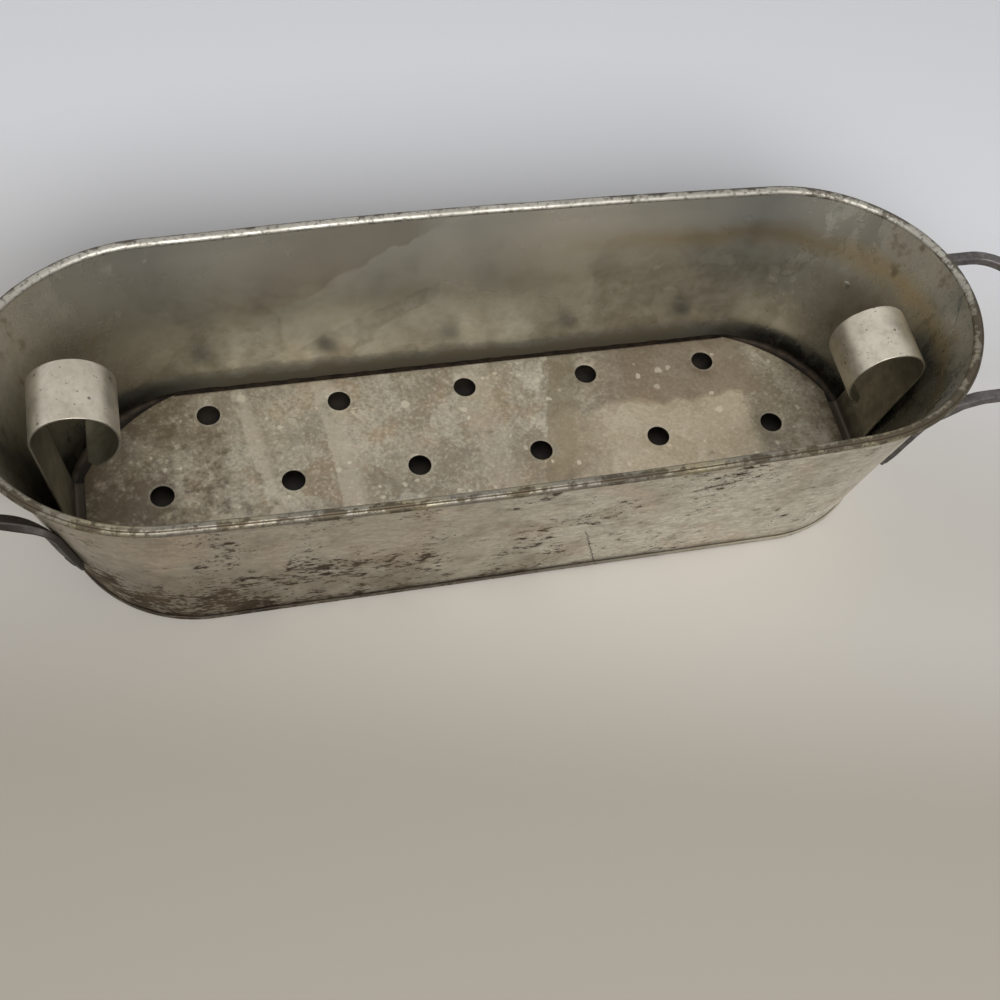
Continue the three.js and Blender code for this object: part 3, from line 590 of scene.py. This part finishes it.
def tinned_rim():
    """The rolled rim: mottled grey tin, rubbed bright in the middle, tarnished black, its groove dirty."""
    material, t, where, (x, y, _) = start_material("hot-dipped tin over sheet iron, rim")
    turn = add(t, "Attribute", {}, attribute_name="turn").outputs["Fac"]
    cloud = add(t, "TexNoise", {"Vector": where, "Scale": per_mm(26), "Detail": 5, "Roughness": 0.6})
    begun = add(t, "MapRange", [x, -0.25, -0.18])
    ended = add(t, "MapRange", [x, 0.12, 0.03])
    handled = add(t, "Math", [begun, ended], "MULTIPLY")
    rubbed = add(t, "Math", [handled, 0.16, cloud], "MULTIPLY_ADD")
    rubbed = add(t, "MapRange", [rubbed, 0.5, 0.68])
    base = add(t, "Mix", {0: rubbed, 6: "98948a", 7: "aaa69c"})
    front = add(t, "MapRange", [y, 0.01, -0.03, 0, 0.6])
    tarnish = add(t, "TexNoise", {"Vector": where, "Scale": per_mm(13), "Detail": 8, "Roughness": 0.75})
    yellow = add(t, "MapRange", [cloud, 0.45, 0.6])
    fine = add(t, "TexNoise", {"Vector": where, "Scale": per_mm(2.5), "Detail": 4, "Roughness": 0.65})
    pitted = add(t, "MapRange", [fine, 0.36, 0.48, 0.7, 0])
    # Darkest along the crown's outer side
    off_crown = add(t, "Math", [turn, GROOVE_TURN], "SUBTRACT")
    off_crown = add(t, "Math", [off_crown], "ABSOLUTE")
    crown = add(t, "MapRange", [off_crown, 12, 50, 0.05, -0.04])
    rightward = add(t, "MapRange", [x, 0.1, 0.22, 0, 0.07])
    near_crown = add(t, "Math", [crown, tarnish])
    near_crown = add(t, "Math", [near_crown, rightward])
    near_crown = add(t, "Math", [front, 0.1, near_crown], "MULTIPLY_ADD")
    black = add(t, "MapRange", [near_crown, 0.53, 0.61, 0, 0.85])
    dirt = add(t, "MapRange", [off_crown, 4, 10, 1, 0])
    caught = add(t, "MapRange", [cloud, 0.35, 0.6, 0.6, 0.95])
    dirt = add(t, "Math", [dirt, caught], "MULTIPLY")
    dull = add(t, "Math", [black, dirt], "MAXIMUM")
    rough = add(t, "MapRange", [rubbed, 0, 1, 0.48, 0.36])
    rough = add(t, "Math", [dull, 0.2, rough], "MULTIPLY_ADD")
    coats = [
        (front, "635b4c"), ((yellow, front), "9b8f6c"), (pitted, "55504a"), (black, "433b30"),
        (dirt, "3a3023"),
    ]
    dress(t, base, coats, TIN, rough, fine, 0.3, 0.4)
    return material


def forged_iron():
    """Forged iron bar: grey-brown oxide with a dull sheen, lighter where hands have held it."""
    material, t, where, (x, _, z) = start_material("forged iron, oxidised")
    scale = add(t, "TexNoise", {"Vector": where, "Scale": per_mm(7), "Detail": 7, "Roughness": 0.65})
    scaled = add(t, "MapRange", [scale, 0.36, 0.64])
    base = add(t, "Mix", {0: scaled, 6: "454140", 7: "696462"})
    # The left handle is browner, and its tabs are black where the hand doesn't reach
    leftward = add(t, "MapRange", [x, 0.05, -0.05, 0, 0.85])
    below = add(t, "MapRange", [z, 0.076, 0.06, 0, 0.5])
    fine = add(t, "TexNoise", {"Vector": where, "Scale": per_mm(2.2), "Detail": 3, "Roughness": 0.6})
    speck = add(t, "MapRange", [fine, 0.58, 0.68, 0, 0.5])
    rough = add(t, "MapRange", [scale, 0.3, 0.7, 0.6, 0.45])
    coats = [(leftward, "28211c"), ((below, leftward), "2e2923"), (speck, "2b2724")]
    dress(t, base, coats, 0.65, rough, scale, 0.3, 0.5)
    return material


def tin_solder():
    """Wiped tin solder: lumpy, and blackened where no cloth reaches."""
    material, t, where, _ = start_material("tin solder, wiped")
    lump = add(t, "TexNoise", {"Vector": where, "Scale": per_mm(5), "Detail": 5})
    lumpy = add(t, "MapRange", [lump, 0.38, 0.62])
    base = add(t, "Mix", {0: lumpy, 6: "2a2119", 7: "42372a"})
    dress(t, base, [], 0.6, 0.6, lump, 0.4, 0.5)
    return material


OUTSIDE = tinned_outside()
INSIDE = tinned_inside()
BOTTOM = boiled_bottom()
RIM_TIN = tinned_rim()
RACK = tinned_rack()
GRIP = tinned_grip()
SHADED_CURL_TIN = tinned_curl_shaded()
IRON = forged_iron()
SOLDER = tin_solder()


def oval(z):
    """The wall's outer oval at a height, as half sizes, and how far its long sides swell."""
    t = min(z, BEAD_Z) / BEAD_Z
    sizes = {key: mix(BASE[key] - FOLD_OUT, RIM[key] - RIM_INSET, t) for key in BASE}
    return {**sizes, "swell": RIM_SWELL * t}


def on_end(z, out, side, angle):
    o = oval(z)
    x = o["length"] - o["reach"] + (o["reach"] + out) * math.cos(angle)
    return Vector((side * x, (o["width"] + out) * math.sin(angle), z))


def on_side(z, out, face, fraction):
    o = oval(z)
    y = o["width"] + out + o["swell"] * (1 - fraction * fraction)
    return Vector(((o["length"] - o["reach"]) * fraction, face * y, z))


def on_half(z, out, face, u, past=0.0):
    """A point on one half of the wall: u runs from the right tip, by the long side, to the left tip."""
    if u < END_SHARE:
        return on_end(z, out, 1, face * mix(past, RIGHT_ANGLE, u / END_SHARE))
    if u > 1 - END_SHARE:
        return on_end(z, out, -1, face * mix(past, RIGHT_ANGLE, (1 - u) / END_SHARE))
    return on_side(z, out, face, 1 - 2 * (u - END_SHARE) / (1 - 2 * END_SHARE))


def wall_section():
    """The sheet's outline in section, as distance out, height, angle round the wire, and which face it is."""
    rows, over, under = 26, 44, 14
    heights = [mix(WALL_FOOT, BEAD_Z, i / rows) for i in range(rows)]
    inside = [(-PAN_SHEET, z, 180, "inside") for z in heights]
    outside = [(0, z, CURL_STOP, "outside") for z in reversed(heights)]
    crown = []
    for i in range(over + 1):
        turn = mix(180, CURL_STOP, i / over)
        dip = GROOVE_DEPTH * smooth(1 - abs(turn - GROOVE_TURN) / GROOVE_HALF)
        crown.append((BEAD - dip, turn, "rim"))
    roll = [(BEAD - PAN_SHEET, mix(CURL_STOP, 180, i / under), "roll") for i in range(under + 1)]
    bead = [
        (BEAD_OUT + radius * math.cos(turn * DEGREE), BEAD_Z + radius * math.sin(turn * DEGREE), turn, part)
        for radius, turn, part in crown + roll
    ]
    return inside + bead + outside


def wander(p, z):
    """Hand-worked sheet is never quite true: soft hollows of about 0.3 mm, none at the foot."""
    hollows = 0.4 * (noise.noise(p / 60) - 0.5) + 0.1 * noise.noise(p / 22)
    return hollows * smooth((z - 12) / 30)


def make_wall(face, lapped):
    section = wall_section()
    lap = math.asin(LAP_WIDTH / oval(0)["width"])
    butt = math.asin(GAP / 4 / oval(0)["width"])

    def in_lap(z):
        return smooth((LAP_TOP - z) / LAP_FADE) * smooth((z - LAP_BOTTOM) / LAP_FADE)

    def place(u, v):
        out, z, _, part = section[round(v * len(section)) % len(section)]
        past = mix(butt, -lap, in_lap(z)) if lapped else butt
        level = min(z, BEAD_Z)
        p = on_half(level, 0, face, u, past)
        if lapped and part in ("inside", "outside"):
            thinned = in_lap(z) * smooth(1 - face * p.y / LAP_STEP)
            inner = -PAN_SHEET - LAP_SHEET
            out = mix(out, inner if part == "inside" else inner + LAP_SHEET, thinned)
        p = on_half(level, out + wander(p, z), face, u, past)
        p.z = z
        return p

    name = "front" if face < 0 else "rear"
    bm = bmesh.new()
    columns, rows = 230, len(section)
    bmesh.ops.create_grid(bm, x_segments=columns, y_segments=rows, size=1)
    turned = bm.verts.layers.float.new("turn")
    for v in bm.verts:
        row = round((v.co.y + 1) / 2 * rows) % rows
        v[turned] = section[row][2]
    for f in bm.faces:
        row = math.floor((f.calc_center_median().y + 1) / 2 * rows)
        f.material_index = {"inside": 1, "outside": 0}.get(section[row][3], 2)
    for v in bm.verts:
        v.co = place((v.co.x + 1) / 2, (v.co.y + 1) / 2)
    bmesh.ops.remove_doubles(bm, verts=bm.verts, dist=SAME_POINT)
    close_ends(bm)
    finishes = [OUTSIDE, INSIDE, RIM_TIN]
    finish_piece(bm, "sheet_wall_" + name, "pan", finishes, ["wall_" + name], 50)


def round_way(z, out, u):
    """A point all round the pan at a height: u runs from the right tip by the front, and back by the rear."""
    if u < 0.5:
        return on_half(z, out, -1, 2 * u)
    return on_half(z, out, 1, 2 * (1 - u))


def spine(u):
    """The point of the pan's long axis that a point of its outline is measured from."""
    p = round_way(0, 0, u)
    reach = oval(0)["length"] - oval(0)["reach"]
    return Vector((min(max(p.x, -reach), reach), 0, 0))


def make_bottom():
    bend_radius = BOTTOM_BEND - PAN_SHEET / 2
    edge = FOLD_OUT - BOTTOM_BEND
    flat_share, bend_share = 0.7, 0.15

    def place(u, v):
        if v < flat_share:
            p = spine(u).lerp(round_way(0, edge, u), v / flat_share)
            p.z = PAN_SHEET / 2
            return p
        bent = (v - flat_share) / bend_share
        if bent < 1:
            turn = bent * RIGHT_ANGLE
            out = edge + bend_radius * math.sin(turn)
            z = BOTTOM_BEND - bend_radius * math.cos(turn)
        else:
            out = edge + bend_radius
            z = mix(BOTTOM_BEND, LIP_HEIGHT, (bent - 1) * bend_share / (1 - flat_share - bend_share))
        return round_way(z, out, u)

    bm = sheet(columns=280, rows=40, place=place)
    turn_faces(bm, False, off_centre)
    solids = ["pan_bottom", "bottom_lip"]
    # The lip's edge takes the dark bottom finish: painted shade where the edge would catch the light
    finish_piece(bm, "sheet_bottom", "pan", [OUTSIDE, BOTTOM], solids, 40, thickness=PAN_SHEET,
                 inner=1, edge=1, bevel=0.2)


def make_bottom_solder():
    """A fillet with a hollow face: up the wall, back down in a curve, and in along the bottom."""
    face = -PAN_SHEET - GAP / 2

    def place(u, v):
        leg, t = divmod(3 * v, 1)
        if leg == 0:
            out, z = 0, SOLDER_LEG * t
        elif leg == 1:
            out = -SOLDER_LEG * (1 - math.cos(t * RIGHT_ANGLE))
            z = SOLDER_LEG * (1 - math.sin(t * RIGHT_ANGLE))
        else:
            out, z = -SOLDER_LEG * (1 - t), 0
        p = round_way(PAN_SHEET, face, u)
        lumps = 1 + 0.35 * noise.noise(p / 6)
        return round_way(PAN_SHEET + z * lumps, face + out * lumps, u)

    bm = sheet(columns=360, rows=15, place=place)
    bmesh.ops.recalc_face_normals(bm, faces=bm.faces)
    finish_piece(bm, "solder_bottom", "pan", [SOLDER], ["bottom_solder"], 60)


def make_seam_solder(side_name, side):
    """A low wiped ridge over the edge of a lap, inside the pan."""
    middle = math.asin(LAP_WIDTH / oval(0)["width"])
    half = SEAM_SOLDER_WIDTH / 2 / oval(0)["width"]
    low, high = LAP_BOTTOM + LAP_FADE, LAP_TOP - LAP_FADE

    def place(u, v):
        z = mix(low, high, u)
        lump = 1 + 0.3 * noise.noise(Vector((side * 40, 0, z / 6)))
        fade = math.sqrt(max(0.0, 1 - (2 * u - 1) ** 8))
        rise = SEAM_SOLDER_RISE * math.sin(math.pi * v) * lump * fade
        return on_end(z, -PAN_SHEET + 0.1 - rise, side, -middle + half * math.cos(math.pi * v))

    bm = sheet(columns=60, rows=10, place=place)
    close_ends(bm)
    finish_piece(bm, "solder_seam_" + side_name, "pan", [INSIDE], ["seam_solder_" + side_name], 60)


def wall_frame(side, angle, z):
    """A point of the wall's outer face on a round end, the way up the wall there, and the way out."""
    point = on_end(z, 0, side, angle)
    up = (on_end(z + 0.01, 0, side, angle) - point).normalized()
    along = (on_end(z, 0, side, angle + 0.01) - on_end(z, 0, side, angle - 0.01)).normalized()
    return point, up, along.cross(up).normalized() * side


def bezier(points, t):
    """A point of a cubic curve, and its direction there."""
    a, b, c, d = points
    point = a * (1 - t) ** 3 + b * 3 * t * (1 - t) ** 2 + c * 3 * t * t * (1 - t) + d * t ** 3
    way = (b - a) * (1 - t) ** 2 + (c - b) * 2 * t * (1 - t) + (d - c) * t * t
    return point, way.normalized()


def bar_at(side, s):
    """The bar's centre line and section over half a handle: s runs from the foot of a tab to the middle."""
    tab_end, bend_end, corner_end = 0.3, 0.6, 0.88
    tab_out = GAP + TAB_THICKNESS / 2
    down = Vector((0, 0, -1))
    bar = (BAR_WIDTH, BAR_HEIGHT, BAR_CORNER)
    if s <= tab_end:
        # The end of the tab is hammered thinner and narrower
        point, way, facing = wall_frame(side, -TAB_ANGLE, mix(TAB_FOOT, TAB_TOP, s / tab_end))
        width = mix(TAB_TIP_WIDTH, TAB_WIDTH, smooth(s / 0.05))
        thickness = mix(TAB_TIP_THICKNESS, TAB_THICKNESS, smooth(s / 0.12))
        return point + facing * tab_out, way, facing, (width, thickness, TAB_CORNER)
    arm = Vector((side * (RIM["length"] + ARM_START), -HANDLE_HALF_SPAN, HANDLE_Z))
    if s <= bend_end:
        point, up, facing = wall_frame(side, -TAB_ANGLE, TAB_TOP)
        top = point + facing * tab_out
        t = (s - tab_end) / (bend_end - tab_end)
        point, way = bezier((top, top + up * BEND_RISE, arm - Vector((side * BEND_RUN, 0, 0)), arm), t)
        worked = smooth(t / 0.7)
        section = tuple(mix(a, b, worked) for a, b in zip((TAB_WIDTH, TAB_THICKNESS, TAB_CORNER), bar))
        return point, way, facing.lerp(down, smooth(t)), section
    outer = RIM["length"] + HANDLE_REACH - BAR_WIDTH / 2
    centre_y = HANDLE_CORNER - HANDLE_HALF_SPAN
    if s <= corner_end:
        turn = RIGHT_ANGLE * (s - bend_end) / (corner_end - bend_end)
        x = outer - HANDLE_CORNER + HANDLE_CORNER * math.sin(turn)
        point = Vector((side * x, centre_y - HANDLE_CORNER * math.cos(turn), HANDLE_Z))
        return point, Vector((side * math.cos(turn), math.sin(turn), 0)), down, bar
    y = mix(centre_y, 0, (s - corner_end) / (1 - corner_end))
    return Vector((side * outer, y, HANDLE_Z)), Vector((0, 1, 0)), down, bar


def rounded(v, width, thickness, corner):
    """A point on a rectangle with round corners: most of the steps go to the corners."""
    quarter, t = divmod(4 * v % 4, 1)
    corner_share = 0.6
    turn = RIGHT_ANGLE * min(t / corner_share, 1)
    a = width / 2 - corner + corner * math.cos(turn)
    b = thickness / 2 - corner + corner * math.sin(turn)
    along = max(t - corner_share, 0) / (1 - corner_share)
    if quarter % 2:
        a, b = width / 2 - corner + corner * math.sin(turn), thickness / 2 - corner + corner * math.cos(turn)
        b -= along * (thickness - 2 * corner)
        return (-a, b) if quarter == 1 else (a, -b)
    a -= along * (width - 2 * corner)
    return (a, b) if quarter == 0 else (-a, -b)


def make_handle(side_name, side):
    def place(u, v):
        where, way, facing, (width, thickness, corner) = bar_at(side, 1 - abs(2 * u - 1))
        thick = (facing - way * facing.dot(way)).normalized()
        wide = way.cross(thick)
        a, b = rounded(v, width, thickness, corner)
        hammer = 1 + 0.05 * noise.noise(where / 9) + 0.03 * noise.noise(where / 4)
        p = where + wide * a * hammer + thick * b * min(hammer, 1.0)
        if u > 0.5:
            p.y = -p.y
        return p

    bm = sheet(columns=300, rows=32, place=place)
    close_ends(bm)
    finish_piece(bm, "bar_" + side_name, "pan", [IRON], ["handle_" + side_name], 32)


def make_rivet(side, face, row, tag):
    point, _, normal = wall_frame(side, face * TAB_ANGLE, TAB_FOOT + RIVET_FROM_FOOT + RIVET_SPACING * row)
    inner = -PAN_SHEET
    seat = GAP + TAB_THICKNESS - 0.1
    profile = [
        (0, inner - 0.05), (2.5, inner - 0.05), (2.7, inner + 0.1), (2, 0), (2, seat - 0.4),
        (3.4, seat - 0.4), (3.4, seat + 0.1), (3, seat + 0.3), (2.2, seat + 0.4), (0, seat + 0.45),
    ]
    bm = bmesh.new()
    points = [bm.verts.new((x, 0, z)) for x, z in profile]
    line = [bm.edges.new(pair) for pair in zip(points, points[1:])]
    bmesh.ops.spin(bm, geom=points + line, cent=(0, 0, 0), axis=(0, 0, 1), angle=2 * math.pi, steps=28,
                   use_merge=True)
    bmesh.ops.remove_doubles(bm, verts=bm.verts, dist=0.01)
    bmesh.ops.recalc_face_normals(bm, faces=bm.faces)
    for f in bm.faces:
        f.material_index = 1 if f.calc_center_median().z < 0 else 0
    for v in bm.verts:
        if v.co.z > seat:
            v.co *= 1 + 0.03 * noise.noise(v.co / 2 + point)
    turn = Vector((0, 0, 1)).rotation_difference(normal).to_matrix().to_4x4()
    bmesh.ops.transform(bm, matrix=Matrix.Translation(point) @ turn, verts=bm.verts)
    finish_piece(bm, "rivet_head_" + tag, "pan", [IRON, INSIDE], ["rivet_" + tag], 50)


def hole_centres():
    middle = [((i - 2.5) * MIDDLE_PITCH, 0) for i in range(6)]
    outer = [((i - 2) * OUTER_PITCH, y) for y in (OUTER_ROW, -OUTER_ROW) for i in range(5)]
    return middle + outer


def corner_arc():
    """The arc that rounds off one corner of the rack, from its long side to its end."""
    a = Vector((RACK_SIDE_HALF, RACK_HALF_WIDTH))
    b = Vector((RACK_HALF_LENGTH, RACK_END_HALF))
    chord = b - a
    back = math.sqrt(RACK_CORNER_RADIUS ** 2 - (chord.length / 2) ** 2)
    centre = (a + b) / 2 + Vector((chord.y, -chord.x)).normalized() * back
    start = math.atan2(a.y - centre.y, a.x - centre.x)
    stop = math.atan2(b.y - centre.y, b.x - centre.x)
    steps = 20
    turns = (mix(start, stop, i / steps) for i in range(steps + 1))
    return [centre + RACK_CORNER_RADIUS * Vector((math.cos(turn), math.sin(turn))) for turn in turns]


def fold_down(bm, side, edge_y):
    """Bends the rack's long edge down into a flange that it stands on."""
    long_edge = [
        e for e in bm.edges
        if e.is_boundary and all(abs(v.co.y - side * edge_y) < 1e-4 for v in e.verts)
    ]
    bend = (0, side * edge_y, RACK_TOP - RACK_BEND)
    made = bmesh.ops.spin(bm, geom=long_edge, cent=bend, axis=(-side, 0, 0), angle=RIGHT_ANGLE, steps=6)
    last = [g for g in made["geom_last"] if isinstance(g, bmesh.types.BMEdge)]
    grown = bmesh.ops.extrude_edge_only(bm, edges=last)["geom"]
    foot = [g for g in grown if isinstance(g, bmesh.types.BMVert)]
    bmesh.ops.translate(bm, vec=(0, 0, RACK_FOOT - RACK_TOP + RACK_BEND), verts=foot)


def make_rack():
    middle = RACK_TOP - RACK_SHEET / 2
    edge_y = RACK_HALF_WIDTH - RACK_BEND
    arc = corner_arc()
    ring = []
    for sx, sy in ((1, -1), (1, 1), (-1, 1), (-1, -1)):
        corner = [Vector((RACK_SIDE_HALF, edge_y)), *arc]
        if sx * sy > 0:
            corner.reverse()
        ring += [(sx * p.x, sy * p.y, middle) for p in corner]
    bm = bmesh.new()
    verts = [bm.verts.new(p) for p in ring]
    for pair in zip(verts, verts[1:] + verts[:1]):
        bm.edges.new(pair)
    for x, y in hole_centres():
        centre = Matrix.Translation((x, y, middle))
        bmesh.ops.create_circle(bm, segments=40, radius=HOLE_RADIUS, matrix=centre)
    bmesh.ops.triangle_fill(bm, use_beauty=True, edges=bm.edges)
    # Finer triangles, so that the plate can warp
    for longest in (60, 30, 16):
        spare = [e for e in bm.edges if e.calc_length() > longest]
        bmesh.ops.subdivide_edges(bm, edges=spare, cuts=1)
        bmesh.ops.triangulate(bm, faces=bm.faces)
        bmesh.ops.beautify_fill(bm, faces=bm.faces, edges=[e for e in bm.edges if not e.is_boundary])
    for side in (1, -1):
        fold_down(bm, side, edge_y)
    bmesh.ops.remove_doubles(bm, verts=bm.verts, dist=0.001)
    for v in bm.verts:
        share = (v.co.z - RACK_FOOT) / (RACK_TOP - RACK_FOOT)
        v.co.z += share * RACK_WARP * (noise.noise(v.co / 55) + 0.4 * noise.noise(v.co / 24) - 0.2)
    turn_faces(bm, True, off_centre)
    solids = ["rack_plate", "rack_fold_front", "rack_fold_rear"]
    # The rack's underside and edges take the darker curl tin: painted shade where its edges would catch the
    # light
    finish_piece(bm, "sheet_rack", "rack", [RACK, SHADED_CURL_TIN], solids, 35, thickness=RACK_SHEET,
                 inner=1, edge=1, bevel=0.18)


def make_grip(side_name, side, leg, lean, offset):
    foot_z = RACK_TOP - RACK_SHEET - GAP - GRIP_SHEET / 2
    foot_x = RACK_HALF_LENGTH - GRIP_FOOT
    leg_x = RACK_HALF_LENGTH + GRIP_STAND_OFF + GRIP_SHEET / 2
    turn = RIGHT_ANGLE - lean
    bend_x = leg_x - (RACK_TOP - foot_z) * math.tan(lean) - GRIP_BEND * math.tan(turn / 2)
    radius = CURL_RADIUS - GRIP_SHEET / 2
    tail = TAIL_RADIUS - GRIP_SHEET / 2

    def on_arc(centre, size, angle):
        return centre + size * Vector((math.sin(angle), -math.cos(angle)))

    bend_centre = Vector((bend_x, foot_z + GRIP_BEND))
    bend_stop = on_arc(bend_centre, GRIP_BEND, turn)
    top = Vector((leg_x + leg * math.sin(lean), RACK_TOP + leg * math.cos(lean)))
    centre = on_arc(top, -radius, turn)
    turned = turn + CURL_TURN
    tail_centre = on_arc(centre, radius - tail, turned)
    # Each run of the strip: its length, and a point some way along it
    runs = [
        (bend_x - foot_x, lambda s: Vector((foot_x + s, foot_z))),
        (GRIP_BEND * turn, lambda s: on_arc(bend_centre, GRIP_BEND, s / GRIP_BEND)),
        ((top - bend_stop).length, lambda s: bend_stop + (top - bend_stop).normalized() * s),
        (radius * CURL_TURN, lambda s: on_arc(centre, radius, turn + s / radius)),
        (tail * TAIL_TURN, lambda s: on_arc(tail_centre, tail, turned + s / tail)),
    ]
    whole = sum(length for length, point in runs)

    def place(u, v):
        s = u * whole
        left = s
        for length, point in runs:
            if left <= length + 0.001:
                break
            left -= length
        x, z = point(min(left, length))
        half = GRIP_WIDTH / 2 - max(0.0, s - (whole - CURL_CHAMFER))
        ragged = 0.25 * noise.noise(Vector((s / 14, side * 5, v * 2)))
        return Vector((side * x, offset + mix(-half, half, v) + ragged, z))

    bm = sheet(columns=160, rows=20, place=place)
    turn_faces(bm, True, lambda f: -f.calc_center_median().z)
    # The strip's inner face takes the darker curl tin: painted shade in the hollow of the curl
    finish_piece(bm, "strip_" + side_name, "rack", [GRIP, SHADED_CURL_TIN], ["grip_" + side_name], 40,
                 thickness=GRIP_SHEET, inner=1, bevel=0.3)


make_wall(-1, False)
make_wall(1, True)
make_bottom()
make_bottom_solder()
for side_name, side in (("left", -1), ("right", 1)):
    make_seam_solder(side_name, side)
    make_handle(side_name, side)
    for face_name, face in (("front", -1), ("rear", 1)):
        for row_name, row in (("lower", 0), ("upper", 1)):
            make_rivet(side, face, row, f"{side_name}_{face_name}_{row_name}")
make_rack()
for side_name, sizes in GRIPS.items():
    make_grip(side_name, **sizes)
for node, material in (("rim_wire", IRON), ("grip_solder_left", SOLDER), ("grip_solder_right", SOLDER)):
    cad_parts[node].data.materials.clear()
    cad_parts[node].data.materials.append(material)


def make_floor():
    """Pale paper with painted light: warm grey in front, where the room's light falls off, and cool and
    lighter behind.
    """
    bm = bmesh.new()
    half_size, below_pan = 4, 0.0001
    bmesh.ops.create_grid(bm, x_segments=1, y_segments=1, size=half_size)
    bmesh.ops.translate(bm, vec=(0, 0, -below_pan), verts=bm.verts)
    material, t, _, (x, y, _) = start_material("pale paper")
    back = add(t, "Math", [x, 0.25, y], "MULTIPLY_ADD")
    painted_falloff_in_front = add(t, "MapRange", [back, -0.2, -0.07], interpolation_type="SMOOTHSTEP")
    colour = add(t, "Mix", {0: painted_falloff_in_front, 6: "aba499", 7: "c9c4bc"})
    behind = add(t, "MapRange", [back, -0.05, 0.26], interpolation_type="SMOOTHSTEP")
    colour = add(t, "Mix", {0: behind, 6: colour, 7: "f6f7fb"})
    wire(t, t.nodes["Principled BSDF"], {"Base Color": colour, "Roughness": 0.8})
    show("floor", make_mesh(bm, "floor", [material]))


def make_light(name, place, aim, size, power):
    data = bpy.data.lights.new(name, "AREA")
    data.shape = "RECTANGLE"
    data.size, data.size_y = size
    data.energy = power
    lamp = show(name, data)
    lamp.location = place
    lamp.rotation_mode = "QUATERNION"
    lamp.rotation_quaternion = (Vector(aim) - Vector(place)).to_track_quat("-Z", "Y")


def make_world():
    """A pale room: white where the camera or the metal sees it, and plain soft light on everything."""
    world = bpy.data.worlds.new("pale room")
    world.use_nodes = True
    t = world.node_tree
    room = t.nodes["Background"]
    wire(t, room, {"Color": "d8d8d8", "Strength": 0.52})
    white = add(t, "Background", {"Color": (1, 1, 1, 1), "Strength": 1.0})
    ray = add(t, "LightPath", {})
    seen = ray.outputs["Is Camera Ray"]
    for kind in ("Is Glossy Ray", "Is Transmission Ray"):
        seen = add(t, "Math", [seen, ray.outputs[kind]], "MAXIMUM")
    shown = add(t, "MixShader", {0: seen, 1: room, 2: white})
    wire(t, t.nodes["World Output"], {"Surface": shown})
    bpy.context.scene.world = world


def make_camera():
    """The photograph's own view, worked out from the pan's rim, base and holes."""
    data = bpy.data.cameras.new("camera")
    data.lens = 46.33
    data.sensor_width = 36
    data.clip_start, data.clip_end = 0.01, 50
    place = (-0.13485, -0.35842, 0.61598)
    yaw, pitch, roll = -0.400, 1.038, -0.221
    forward = Vector((-math.sin(yaw) * math.cos(pitch), math.cos(yaw) * math.cos(pitch), -math.sin(pitch)))
    level = Vector((math.cos(yaw), math.sin(yaw), 0))
    below = forward.cross(level)
    right = level * math.cos(roll) + below * math.sin(roll)
    down = below * math.cos(roll) - level * math.sin(roll)
    turn = Matrix((right, -down, -forward)).transposed().to_4x4()
    camera = show("camera", data)
    camera.matrix_world = Matrix.Translation(place) @ turn
    bpy.context.scene.camera = camera


make_floor()
make_world()
make_light("window", place=(-0.1, -1.25, 1.15), aim=(0, 0, 0.05), size=(1, 0.7), power=20.5)
make_camera()
bpy.context.scene.view_settings.view_transform = "Standard"
